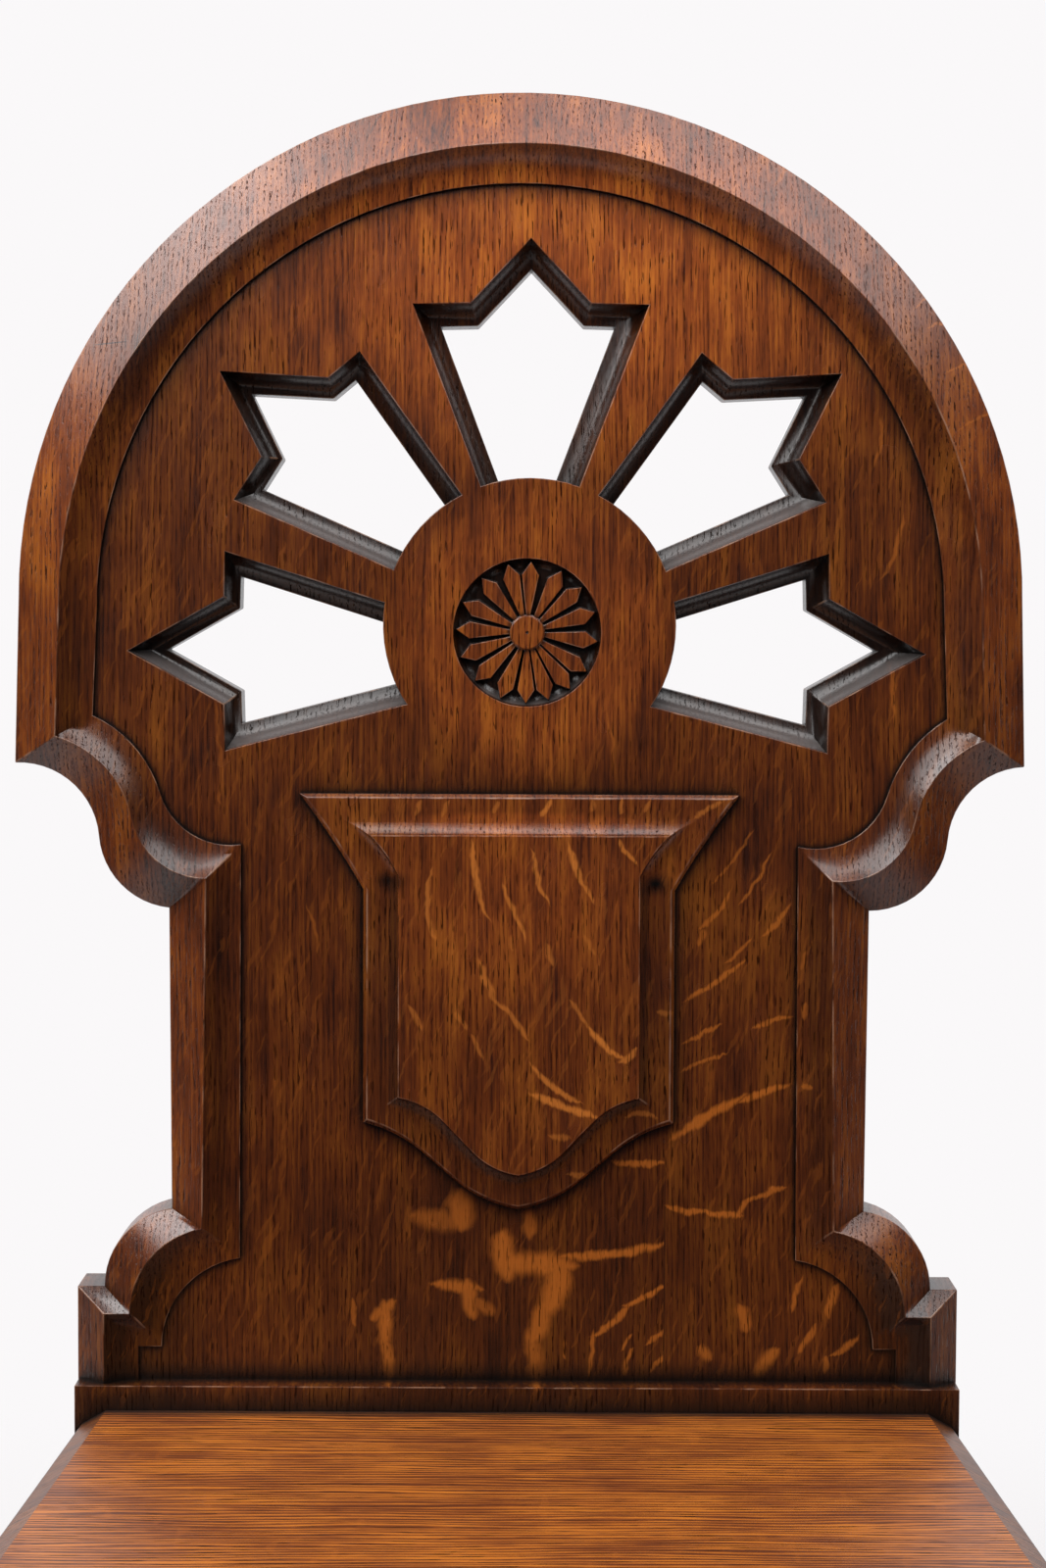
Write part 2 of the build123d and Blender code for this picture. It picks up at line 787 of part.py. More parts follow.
def rear_rail():
    """Rail under the rear of the seat, planed to the rake of the back."""
    middle = rear_rail_inner / 2
    body = bar((-rear_leg_x, middle), (rear_leg_x, middle), -rear_rail_inner, rail_height)
    body -= behind_plane()
    body = rail(body, rear_tenon())
    for place in back_fixings()[0]:
        body -= back_place * place * screw_room(tail_screw_bite)
    return body


def corner_frame(side, at_front):
    """Inner corner of two rails in plan, with the directions along the cross rail and the side rail."""
    inner_y = front_leg_y + rail_thickness / 2 if at_front else rear_rail_inner
    length = math.hypot(1, side_run)
    inner_x = side_x(inner_y) - rail_thickness / 2 * length
    towards = 1 if at_front else -1
    corner = Vector(side * inner_x, inner_y, 0)
    across = Vector(-side, 0, 0)
    along = Vector(side * side_run * towards / length, towards / length, 0)
    return corner, across, along


def corners():
    """The four corners of the seat frame, front ones first."""
    return [corner_frame(side, at_front) for at_front in (True, False) for side in (-1, 1)]


def block_screw_places():
    """Two screws through each corner block, square to the rails."""
    level = seat_underside - corner_block_height / 2
    places = []
    for corner, across, along in corners():
        out_of_side = across - along * across.dot(along)
        for run, away in ((across, Vector(0, along.Y, 0)), (along, out_of_side)):
            away = away.normalized()
            place = corner + run * block_screw_reach + away * block_screw_seat
            places.append(Plane(origin=place + Vector(0, 0, level), z_dir=away).location)
    return places


def seat_screw_places():
    """A screw up through each corner block into the seat."""
    level = seat_underside - corner_block_height
    places = []
    for corner, across, along in corners():
        place = corner + across * seat_screw_along + along * seat_screw_across
        places.append(Plane(origin=place + Vector(0, 0, level), z_dir=(0, 0, -1)).location)
    return places


def corner_block(index):
    """Block glued and screwed into a corner of the frame, notched round the leg."""
    corner, across, along = corners()[index]
    outline = Polyline(corner, corner + across * block_wing, corner + along * block_wing, close=True)
    block = extrude(make_face(outline), amount=corner_block_height, dir=(0, 0, 1))
    body = Pos(0, 0, seat_underside - corner_block_height) * block
    for post in leg_bodies():
        body -= post
    for place in block_screw_places():
        body -= place * screw_room(block_screw_bite)
    for place in seat_screw_places():
        body -= place * screw_room(seat_screw_bite)
    return body


def build():
    """All pieces by name, each in its place."""
    back = whole_back()
    seat = whole_seat()
    side_reach = block_half_width + arch_radius
    seat_split = -seat_rear_board_width
    seat_split_front = seat_split - seat_middle_board_width
    tail_places, shield_places = back_fixings()
    back_screws = [back_place * place * screw(tail_screw_bite) for place in tail_places]
    shield_screws = [back_place * place * screw(shield_screw_length) for place in shield_places]
    pieces = {
        "back_board_left": back_place * plank(back, -side_reach, -left_joint_offset),
        "back_board_centre": back_place * plank(back, -left_joint_offset, right_joint_offset),
        "back_board_right": back_place * plank(back, right_joint_offset, side_reach),
        "shield_cartouche": shield_cartouche(),
        "seat_board_rear": seat_board(seat, overrun, seat_split),
        "seat_board_middle": seat_board(seat, seat_split, seat_split_front),
        "seat_board_front": seat_board(seat, seat_split_front, -seat_depth - overrun),
        "front_leg_left": leg(front_leg_body(-1)),
        "front_leg_right": leg(front_leg_body(1)),
        "rear_leg_left": leg(rear_leg_body(-1)),
        "rear_leg_right": leg(rear_leg_body(1)),
        "front_rail": front_rail(),
        "rear_rail": rear_rail(),
        "side_rail_left": side_rail(-1),
        "side_rail_right": side_rail(1),
        "corner_block_front_left": corner_block(0),
        "corner_block_front_right": corner_block(1),
        "corner_block_rear_left": corner_block(2),
        "corner_block_rear_right": corner_block(3),
        "back_joint_dowels": [back_place * dowel for dowel, hole in back_dowels()],
        "seat_joint_dowels": [dowel for dowel, hole in seat_dowels()],
        "rail_pegs": [pin for pin, hole in pegs()],
        "back_screws": back_screws,
        "shield_screws": shield_screws,
        "corner_block_screws": [place * screw(block_screw_bite) for place in block_screw_places()],
        "seat_screws": [place * screw(seat_screw_bite) for place in seat_screw_places()],
    }
    return pieces


def main():
    os.makedirs("parts", exist_ok=True)
    for name, piece in build().items():
        if isinstance(piece, list):
            piece = Compound(children=[solid for item in piece for solid in item.solids()])
        placed = chair_place * piece
        placed.label = name
        export_step(placed, f"parts/{name}.step")
        print(name, len(placed.solids()), "solid(s), volume", round(placed.volume))


if __name__ == "__main__":
    main()
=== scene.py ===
import math
from collections import namedtuple

import bmesh
import bpy
from mathutils import Euler, Matrix, Vector


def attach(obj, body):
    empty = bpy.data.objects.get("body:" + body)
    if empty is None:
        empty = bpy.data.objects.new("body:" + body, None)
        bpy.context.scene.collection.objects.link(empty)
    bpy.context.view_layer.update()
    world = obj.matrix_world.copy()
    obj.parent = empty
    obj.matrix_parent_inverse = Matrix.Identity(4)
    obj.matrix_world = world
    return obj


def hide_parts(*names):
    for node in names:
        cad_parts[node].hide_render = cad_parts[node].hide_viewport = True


bl_info = {
    "name": "Carved oak hall chair",
    "version": (1, 1, 0),
    "blender": (4, 5, 0),
    "location": "3D View > Sidebar > Hall Chair",
    "description": "Dresses the boards of a carved oak hall chair and lights them in a pale studio",
    "category": "Object",
}

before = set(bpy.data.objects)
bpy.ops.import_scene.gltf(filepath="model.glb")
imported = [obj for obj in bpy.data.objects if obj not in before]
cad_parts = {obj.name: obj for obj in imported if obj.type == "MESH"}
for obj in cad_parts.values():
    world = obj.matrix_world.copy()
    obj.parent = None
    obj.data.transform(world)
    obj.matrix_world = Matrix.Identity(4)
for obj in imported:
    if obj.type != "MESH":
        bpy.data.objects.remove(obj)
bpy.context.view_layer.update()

# Lengths are in metres, and those of patterns and carving in millimetres.
MM = 0.001

# The back leans by this angle; its own plane starts at the seat's top, at the front of the plinth.
BACK_RAKE = math.radians(4.0)
SEAT_HEIGHT = 0.450
PLINTH_FACE_Y = 0.1543

# Carving of the back in millimetres: across from the middle, up from the seat, deep from the plinth.
LEFT_JOINT = -65.5
RIGHT_JOINT = 62.0
ARCH_CENTRE = 337.0
STEP_RADIUS = 177.0
HUB = (3.9, 331.3)
HUB_RADIUS = 61.5
TRACERY_RADIUS = 176.0
ROSETTE = (2.9, 328.1)
ROSETTE_RADIUS = 31.0
BUTTON_RADIUS = 7.6
FIELD_DEPTH = 12.0
BOARD_THICKNESS = 38.0
PANEL_DEPTH = 3.0
BAND_DEPTH = 7.5

BACK_BOARDS = ("back_board_left", "back_board_centre", "back_board_right")
SEAT_BOARDS = ("seat_board_rear", "seat_board_middle", "seat_board_front")
UPRIGHTS = ("front_leg_left", "front_leg_right", "rear_leg_left", "rear_leg_right")
CROSS_RAILS = ("front_rail", "rear_rail")
SIDE_RAILS = ("side_rail_left", "side_rail_right")
CORNER_BLOCKS = (
    "corner_block_front_left",
    "corner_block_front_right",
    "corner_block_rear_left",
    "corner_block_rear_right",
)
PEGS = ("rail_pegs",)
DOWELS = ("back_joint_dowels", "seat_joint_dowels")
SCREWS = ("back_screws", "shield_screws", "corner_block_screws", "seat_screws")

# Turns that lay the grain of each kind of piece along Z in its pattern, and its rings across X.
GRAIN_UP_THE_BACK = (BACK_RAKE, 0.0, 0.0)
GRAIN_UPRIGHT = (0.0, 0.0, math.radians(45))
GRAIN_ACROSS = tuple(Matrix(((0, 1, 0), (0, 0, 1), (1, 0, 0))).to_euler())
GRAIN_BACKWARD = tuple(Matrix(((0, 0, 1), (1, 0, 0), (0, 1, 0))).to_euler())

# Settings of two kinds of node that recur: a range with soft ends, and a mix of colours, which takes them
# at the sockets 6 and 7.
SOFTLY = {"interpolation_type": "SMOOTHSTEP"}
COLOURS = {"data_type": "RGBA", "output": 2}

# What a board of the back has besides its wood: its flecks, its cracks, its patches of own tone and of
# painted light and shade, the gain of its stain elsewhere, and the function for the painted shade and
# soiling in its carving.
Carving = namedtuple("Carving", "flecks hairlines glows base_gain dirt")

# How far out from its middle line a stroke ends and is full, as shares of its half width.
STROKE_END = 1.1
STROKE_FULL = 0.25


def linear(hex_colour):
    """Linear colour with full alpha for an sRGB hex value."""
    digits = hex_colour.lstrip("#")
    channels = [int(digits[i:i + 2], 16) / 255 for i in (0, 2, 4)]
    return [c / 12.92 if c <= 0.04045 else ((c + 0.055) / 1.055) ** 2.4 for c in channels] + [1.0]


def add(tree, kind, sockets, output=0, **settings):
    """Add a shader node with its settings, values and links, and return one of its outputs, if any."""
    made = tree.nodes.new("ShaderNode" + kind)
    for name, value in settings.items():
        setattr(made, name, value)
    for name, value in sockets.items():
        socket = made.inputs[name]
        if isinstance(value, bpy.types.NodeSocket):
            tree.links.new(value, socket)
        else:
            socket.default_value = value
    if len(made.outputs):
        return made.outputs[output]
    return None


def new_material(name):
    """Empty material with its node tree."""
    material = bpy.data.materials.new(name)
    material.use_nodes = True
    material.node_tree.nodes.clear()
    return material, material.node_tree


def per(sizes):
    """Factors that turn millimetres into cells of the given sizes."""
    return [1 / size for size in sizes]


def mottle(tree, space, sizes, detail=2.0, roughness=0.5):
    """Uneven tone around one half, in cells of the given sizes in millimetres."""
    cells = add(tree, "VectorMath", {0: space, 1: per(sizes)}, operation="MULTIPLY")
    return add(tree, "TexNoise", {
        "Vector": cells, "Scale": 1.0, "Detail": detail, "Roughness": roughness,
    })


def wander(tree, space, sizes, reach):
    """Space pushed about by an uneven drift, so that straight patterns sway."""
    cells = add(tree, "VectorMath", {0: space, 1: per(sizes)}, operation="MULTIPLY")
    drift = add(tree, "TexNoise", {"Vector": cells, "Scale": 1.0, "Detail": 1.0}, output="Color")
    centred = add(tree, "VectorMath", {0: drift, 1: (0.5, 0.5, 0.5)}, operation="SUBTRACT")
    pushed = add(tree, "VectorMath", {0: centred, 1: reach}, operation="MULTIPLY")
    return add(tree, "VectorMath", {0: space, 1: pushed}, operation="ADD")


def grain_space(tree, turn, shift):
    """Object coordinates in millimetres, turned so that Z runs along the grain."""
    coordinates = add(tree, "TexCoord", {}, output="Object")
    return add(tree, "Mapping", {
        "Vector": coordinates, "Scale": (1 / MM, 1 / MM, 1 / MM), "Rotation": turn, "Location": shift,
    }, vector_type="POINT")


def board_space(tree):
    """Place on the back in millimetres: X across, Y into the board, Z up from the seat."""
    origin = Vector((0, PLINTH_FACE_Y, SEAT_HEIGHT)) / MM
    origin.rotate(Euler(GRAIN_UP_THE_BACK))
    return grain_space(tree, GRAIN_UP_THE_BACK, -origin)


def patch(tree, space, middle, radii, edge):
    """Soft elliptical patch on the back, 1 inside and 0 outside."""
    across, up = middle
    offset = add(tree, "VectorMath", {0: space, 1: (across, 0, up)}, operation="SUBTRACT")
    unit = add(tree, "VectorMath", {0: offset, 1: (1 / radii[0], 0, 1 / radii[1])}, operation="MULTIPLY")
    distance = add(tree, "VectorMath", {0: unit}, output="Value", operation="LENGTH")
    return add(tree, "MapRange", {"Value": distance, "From Min": 1.0, "From Max": 1.0 - edge}, **SOFTLY)


def stroke(tree, space, start, end, width, sag):
    """Tapering arc on the face of the back from one place to another, 1 inside and 0 outside."""
    run, rise = end[0] - start[0], end[1] - start[1]
    local = add(tree, "Mapping", {
        "Vector": space,
        "Location": ((start[0] + end[0]) / 2, 0, (start[1] + end[1]) / 2),
        "Rotation": (0, -math.atan2(rise, run), 0),
        "Scale": (math.hypot(run, rise) / 2, 1, width / 2),
    }, vector_type="TEXTURE")
    parts = add(tree, "SeparateXYZ", {0: local}).node.outputs
    along = add(tree, "Math", {0: parts["X"], 1: parts["X"]}, operation="MULTIPLY")
    bow = 2 * sag / width
    bowed = add(tree, "Math", {0: along, 1: bow, 2: parts["Z"]}, operation="MULTIPLY_ADD")
    level = add(tree, "Math", {0: bowed, 1: bow}, operation="SUBTRACT")
    across = add(tree, "Math", {0: level}, operation="ABSOLUTE")
    reach = add(tree, "Math", {0: along, 1: along, 2: across}, operation="MULTIPLY_ADD")
    return add(tree, "MapRange", {
        "Value": reach, "From Min": STROKE_END, "From Max": STROKE_FULL,
    }, **SOFTLY)


def strokes(tree, space, table):
    """The strongest of a table of strokes, each a start, an end, a width, a sag and a strength."""
    strongest = None
    for start, end, width, sag, strength in table:
        mark = stroke(tree, space, start, end, width, sag)
        weighed = add(tree, "Math", {0: mark, 1: strength}, operation="MULTIPLY")
        if strongest is None:
            strongest = weighed
        else:
            strongest = add(tree, "Math", {0: strongest, 1: weighed}, operation="MAXIMUM")
    return strongest


# Oak of the back: quarter-sawn, fumed and stained dark, then waxed and handled for a century. To the eye
# it is a deep brown with a soft gloss, black in the corners, where painted shade lies with wax and dust,
# and pale on the arrises, which are worn and carry a painted highlight. The sizes in millimetres are those
# of its pores, its rings and its streaks.
BACK_OAK = {
    "dark": "#3c190c",
    "middle": "#703513",
    "light": "#99551b",
    "fleck": "#a65c1e",
    "pore": "#1a0803",
    "shade_and_grime": "#0a0503",
    "painted_reflection": "#8d8684",
    "wear_and_highlight": "#94705a",
    "edge": 0.0,
    "roughness": 0.26,
    "pore_mm": (0.55, 0.8, 7.0),
    "ring_mm": 2.3,
    "ring_tone": 0.018,
    "streak_mm": (0.8, 2.4, 20),
}

# Oak of the shield, cut so that its flecks show broad and pale.
SHIELD_OAK = dict(BACK_OAK, fleck="#b86c2a")

# Oak of the seat: the same timber, polished lighter by use, with painted shade on the faces that are not
# level.
SEAT_OAK = dict(BACK_OAK, dark="#4e230b", middle="#743b12", light="#a15c1a", pore="#1a0a03",
                edge=0.90, roughness=0.38, pore_mm=(0.9, 1.6, 14), ring_mm=2.6, ring_tone=0.12,
                streak_mm=(0.9, 3.0, 24))

# Straight-grained oak of the legs and rails, dark and less worn.
FRAME_OAK = dict(BACK_OAK, dark="#2c1207", middle="#5a2a10", light="#86471b", roughness=0.42)

# Bare oak of the blocks, pegs and dowels, never stained and dulled by age.
BLOCK_OAK = dict(BACK_OAK, dark="#6a4a2c", middle="#8a6540", light="#a98457", pore="#4a3320",
                 shade_and_grime="#2a1c10", roughness=0.62)

# Steel of the screws: bright where a screwdriver has rubbed it, brown where damp has reached it.
STEEL_GREY = "#6f6862"
RUST_BROWN = "#4a2f20"
RUST_MM = (1.5, 1.5, 1.5)

# How much brighter than their listed strength the flecks of the worn and waxed board show.
FLECK_LIFT = 1.15

# Ray flecks as seen on each board: start, end, width and sag in millimetres, and strength.
LEFT_FLECKS = (
    ((-70, 46), (-69, 33), 3.0, 0, 0.45),
    ((-90, 215), (-84, 190), 1.6, 1, 0.25),
    ((-128, 300), (-126, 250), 2.2, 1, 0.20),
)
CENTRE_FLECKS = (
    ((-24, 94), (-24, 73), 15.0, 0, 0.56),
    ((-46, 81), (-20, 79), 12.0, -1, 0.40),
    ((4, 87), (5, 70), 8.0, 0, 0.50),
    ((-7, 77), (-3, 52), 13.0, -1, 0.70),
    ((-11, 61), (27, 60), 13.0, 0, 0.70),
    ((14, 64), (66, 70), 5.2, -2, 0.75),
    ((19, 64), (12, 38), 14.0, 1, 0.70),
    ((14, 48), (4, 24), 11.0, 1, 0.64),
    ((5, 31), (8, 8), 9.0, 1, 0.48),
    ((-38, 52), (-14, 50), 6.5, 0, 0.66),
    ((-22, 55), (-19, 36), 9.0, 0, 0.60),
    ((-19, 46), (-10, 38), 6.5, 0, 0.42),
    ((-63, 36), (-51, 45), 6.5, 0, 0.64),
    ((-57, 46), (-57, 23), 8.0, 1, 0.68),
    ((-57, 29), (-54, 9), 6.5, 1, 0.60),
    ((64, 53), (44, 42), 3.0, 1, 0.72),
    ((49, 45), (30, 29), 3.4, 2, 0.70),
    ((32, 34), (30, 11), 2.6, 1, 0.62),
    ((20, 29), (21, 19), 2.2, 0, 0.50),
    ((44, 23), (49, 31), 2.0, 0, 0.55),
    ((45, 12), (50, 25), 2.6, 1, 0.62),
    ((54, 26), (64, 33), 2.4, 0, 0.62),
    ((56, 14), (64, 23), 2.4, 0, 0.60),
    ((38, 105), (64, 104), 3.6, -1, 0.62),
    ((12, 285), (14, 262), 1.8, 0, 0.22),
    ((36, 296), (39, 268), 1.8, 1, 0.22),
    ((30, 478), (26, 452), 2.2, 1, 0.26),
    ((38, 482), (32, 456), 1.8, 1, 0.24),
)
RIGHT_FLECKS = (
    ((98, 247), (80, 222), 1.8, 2, 0.36),
    ((107, 238), (92, 213), 1.8, 1, 0.45),
    ((89, 221), (75, 203), 3.0, 2, 0.50),
    ((78, 204), (76, 196), 4.0, 0, 0.45),
    ((115, 216), (102, 200), 2.6, 1, 0.58),
    ((99, 201), (86, 189), 2.4, 1, 0.48),
    ((97, 192), (68, 172), 3.0, 1, 0.60),
    ((87, 164), (68, 154), 2.6, 0, 0.55),
    ((89, 151), (68, 142), 2.4, -1, 0.52),
    ((117, 167), (97, 161), 2.8, -1, 0.58),
    ((117, 138), (92, 129), 4.0, -1, 0.72),
    ((98, 134), (62, 112), 5.2, -1, 0.72),
    ((61, 86), (82, 83), 3.2, -1, 0.66),
    ((78, 84), (96, 82), 3.8, -1, 0.72),
    ((92, 80), (102, 91), 3.0, 1, 0.62),
    ((99, 88), (115, 94), 3.6, 1, 0.60),
    ((94, 44), (97, 31), 8.0, 1, 0.56),
    ((76, 26), (83, 19), 7.0, 0, 0.52),
    ((101, 12), (112, 25), 7.5, 1, 0.66),
    ((121, 56), (117, 39), 3.4, -1, 0.58),
    ((137, 54), (132, 37), 4.6, -1, 0.58),
    ((127, 36), (118, 22), 3.4, 1, 0.60),
    ((145, 31), (132, 21), 3.4, 1, 0.56),
    ((131, 22), (131, 13), 3.0, 0, 0.52),
    ((122, 196), (119, 186), 2.6, 0, 0.30),
    ((121, 174), (121, 165), 3.4, 0, 0.40),
    ((119, 137), (124, 137), 3.4, 0, 0.45),
    ((150, 420), (146, 396), 2.4, 2, 0.28),
    ((160, 380), (150, 350), 2.6, 2, 0.34),
    ((154, 320), (157, 290), 3.0, 1, 0.34),
    ((168, 455), (190, 461), 1.4, 1, 0.55),
    ((162, 462), (182, 476), 1.4, 1, 0.50),
    ((176, 437), (199, 443), 1.6, 1, 0.50),
    ((152, 478), (166, 490), 1.6, 1, 0.42),
    ((180, 412), (204, 424), 1.4, 1, 0.36),
    ((104, 512), (116, 527), 2.0, 1, 0.30),
)
SHIELD_FLECKS = (
    ((-36, 231), (-34, 197), 2.9, -3, 0.48),
    ((-20, 243), (-12, 206), 3.1, -2, 0.60),
    ((-8, 225), (4, 198), 2.6, 0, 0.60),
    ((5, 239), (13, 213), 2.6, -1, 0.60),
    ((21, 242), (28, 221), 3.1, -1, 0.67),
    ((27, 224), (32, 214), 2.6, 0, 0.52),
    ((41, 243), (50, 231), 2.6, -1, 0.57),
    ((-4, 203), (-3, 194), 3.1, 0, 0.30),
    ((11, 199), (14, 189), 3.6, 0, 0.37),
    ((27, 203), (32, 193), 2.6, 0, 0.23),
    ((-17, 193), (-9, 173), 3.9, -1, 0.51),
    ((-12, 177), (5, 156), 2.9, 1, 0.46),
    ((-27, 170), (-22, 161), 2.9, 0, 0.32),
    ((-20, 160), (-14, 149), 2.9, 0, 0.34),
    ((21, 176), (31, 160), 2.3, 0, 0.39),
    ((28, 165), (46, 149), 3.4, -2, 0.76),
    ((41, 148), (50, 155), 3.4, -1, 0.57),
    ((4, 148), (28, 130), 3.4, -2, 0.64),
    ((3, 136), (36, 124), 4.2, -1, 0.74),
    ((12, 117), (22, 116), 4.2, 0, 0.34),
    ((-46, 173), (-41, 161), 2.9, 0, 0.37),
    ((-44, 251), (-41, 259), 2.9, 0, 0.37),
    ((-33, 251), (-29, 258), 2.9, 0, 0.30),
    ((-12, 252), (-8, 258), 2.6, 0, 0.32),
    ((8, 251), (14, 259), 3.1, 0, 0.63),
    ((30, 253), (31, 259), 2.6, 0, 0.32),
    ((42, 252), (43, 259), 2.6, 0, 0.39),
    ((52, 253), (55, 259), 2.6, 0, 0.32),
    ((72, 250), (86, 259), 2.9, 0, 0.39),
    ((44, 124), (59, 124), 3.1, 2, 0.48),
    ((20, 100), (31, 99), 3.4, 0, 0.48),
    ((58, 169), (66, 168), 3.9, 0, 0.41),
)

# Dark hairlines: the glue joints where they show, and an old crack across the left bevel.
LEFT_HAIRLINES = (
    ((-179, 447), (-163, 448), 0.9, 0, 0.75),
)
CENTRE_HAIRLINES = (
    ((-63.5, 533), (-56, 546), 0.9, 1, 0.55),
)
RIGHT_HAIRLINES = (
    ((62.3, 2), (62.3, 108), 0.9, 0, 0.65),
)

# Gain of the stain's colour where nothing lifts or darkens it.
BACK_GAIN = 0.50
SHIELD_GAIN = 0.62

# Parts of the back that are lighter or darker than the rest, partly the wood's own tone and partly painted
# light and shade: the top is painted lighter as lit from above, the hub is lighter in its own tone, and
# the foot of the back and its lower corners are darker. Each has a middle, radii, softness and gain.
BACK_PAINTED_LIGHT_AND_TONE = (
    ((20, 475), (190, 110), 0.9, 0.95),
    ((5, 330), (68, 68), 0.35, 0.42),
    ((0, 55), (150, 85), 0.6, -0.15),
    ((0, 4), (230, 9), 0.4, -0.16),
    ((-190, 400), (32, 95), 0.8, 0.18),
    ((196, 380), (42, 110), 0.8, 0.24),
    ((-166, 30), (44, 52), 0.5, -0.24),
    ((168, 30), (44, 52), 0.5, -0.24),
)
# On the shield, the narrow patch along the top cove is a painted highlight and the two dark patches under
# the ears are painted shade.
SHIELD_PAINTED_LIGHT_AND_TONE = (
    ((0, 215), (80, 70), 0.9, 0.30),
    ((0, 248), (74, 6), 0.5, 0.45),
    ((-54, 224), (10, 6.5), 1.0, -0.7),
    ((57, 223), (10, 6.5), 1.0, -0.7),
)


# Cells of each pattern of the wood in millimetres: across the rings, into the board and along the grain.
SWAY_MM = (60, 60, 210)
SWAY_REACH_MM = (9, 5, 0)
BAND_MM = (5, 16, 100)
CLOUD_MM = (18, 24, 44)
YEARS_MM = (7, 18, 90)
SHEET_MM = (26, 1.6, 9)
HANDLED_MM = (9, 9, 16)
RIPPLE_MM = (6, 6, 11)
SMEAR_MM = (14, 14, 26)

# Each plank is cut from another place in the patterns: its seed times this shift in millimetres.
PLANK_SHIFT_MM = (131.0, 57.0, 389.0)
FIRST_BACK_SEED = 2.0
SHIELD_SEED = 6.0
FIRST_SEAT_SEED = 11.0
FIRST_FRAME_SEED = 21.0

# How far good and poor years push the rings about, as turns of their wave in radians.
YEARS_SPREAD = 14.0

# Shares that bands, fine streaks and clouds have in the wood's tone, and the tones of its three colours.
BAND_SHARE = 0.28
STREAK_SHARE = 0.30
CLOUD_SHARE = 0.42
DARK_TONE = 0.37
MIDDLE_TONE = 0.50
LIGHT_TONE = 0.64

# Gain of the stain on the bevels, which hands have polished and which are painted lighter as lit, and in
# the coves, which they don't reach and which are painted darker as shaded.
BEVEL_LIGHT_AND_POLISH_GAIN = 0.16
COVE_SHADE_AND_DIRT_GAIN = -0.20

# Fine ray flecks lean on the back and sway from place to place.
FINE_FLECK_LEAN = math.radians(-17)
FINE_FLECK_MM = (2.3, 8, 20)
FINE_FLECK_SWAY_MM = (30, 30, 30)
FINE_FLECK_REACH_MM = (9, 0, 9)

# Broad flecks have ragged edges, frayed again along the fibres.
RAGGED_MM = (6, 7, 6)
RAGGED_REACH_MM = (3.4, 0, 3.0)
FIBRE_MM = (0.9, 2, 7)
FIBRE_REACH_MM = (0, 0, 1.8)

# How strongly each mark of growth and of age, and each painted shade and painted reflection, covers what
# lies under it.
FINE_FLECK_COVER = 0.12
PORE_COVER = 0.85
BROAD_SHADE_AND_DIRT_COVER = 0.93
TIGHT_SHADE_AND_DIRT_COVER = 0.96
HOLLOW_COVER = 0.86
PAINTED_REFLECTION_COVER = 0.30

# How far from an inner corner, in millimetres, the broad brown and the tight black painted shade, with wax
# and dust, reach.
BROAD_SHADE_AND_DIRT_REACH_MM = 10
TIGHT_SHADE_AND_DIRT_REACH_MM = 2.4
AIR_SAMPLES = 6

# Depths under the field in millimetres at which the painted shade and soiling of the hollows start and are
# full.
OPENING_SHADE_AND_DIRT_MM = (0.15, 2.5)
ROSETTE_SHADE_AND_DIRT_MM = (1.4, 3.4)

# Width in millimetres of the painted shadow round the rosette's button.
MOAT_WIDTH = 2.6

# Shade under the step of the arch, and the height in millimetres over which it sets in.
RIM_SHADE = 0.5
RIM_SHADE_RISE = 12.0

# Painted shade and soiling in the shield's band and in the hollow round its panel, and the part of the
# shield, below its top, that has them.
BAND_SHADE_AND_DIRT = 0.38
HOLLOW_SHADE_AND_DIRT = 0.45
UNDER_TOP = ((0, 146), (140, 88))

# Depth of the pores in the wax, how strongly it shows, the ripple's share of it, and how the gloss varies.
RELIEF_MM = 0.2
RELIEF_STRENGTH = 0.5
RIPPLE_SHARE = 0.12
SMEAR_SHARE = 0.08
WAX_IOR = 1.5


def painted_light_and_tone_gain(tree, space, glows, base):
    """Gain of the stain's colour over the back, from patches of its own tone and of painted light and
    shade.
    """
    gain = base
    for middle, radii, edge, lift in glows:
        here = patch(tree, space, middle, radii, edge)
        gain = add(tree, "Math", {0: here, 1: lift, 2: gain}, operation="MULTIPLY_ADD")
    return gain


def carved_slopes(tree, space):
    """Shares of bevel and of cove: a bevel leans away from the middle of the back, a cove towards it."""
    parts = add(tree, "SeparateXYZ", {0: space}).node.outputs
    above = add(tree, "Math", {0: parts["Z"], 1: ARCH_CENTRE}, operation="SUBTRACT")
    above = add(tree, "Math", {0: above, 1: 0.0}, operation="MAXIMUM")
    outward = add(tree, "CombineXYZ", {"X": parts["X"], "Z": above})
    outward = add(tree, "VectorMath", {0: outward}, operation="NORMALIZE")
    facing = add(tree, "NewGeometry", {}, output="Normal")
    lean = add(tree, "VectorMath", {0: facing, 1: outward}, output="Value", operation="DOT_PRODUCT")
    bevel = add(tree, "MapRange", {"Value": lean, "From Min": 0.15, "From Max": 0.45}, **SOFTLY)
    cove = add(tree, "MapRange", {"Value": lean, "From Min": -0.05, "From Max": -0.35}, **SOFTLY)
    return bevel, cove


def round_patch(tree, space, middle, radius, edge):
    """Round patch on the back, 1 inside and 0 outside."""
    return patch(tree, space, middle, (radius, radius), edge)


def below_field(tree, depth, depths):
    """How far a place lies in the painted shade and soiling that start and are full at two depths under
    the field.
    """
    start, full = depths
    return add(tree, "MapRange", {
        "Value": depth, "From Min": FIELD_DEPTH + start, "From Max": FIELD_DEPTH + full,
    }, **SOFTLY)


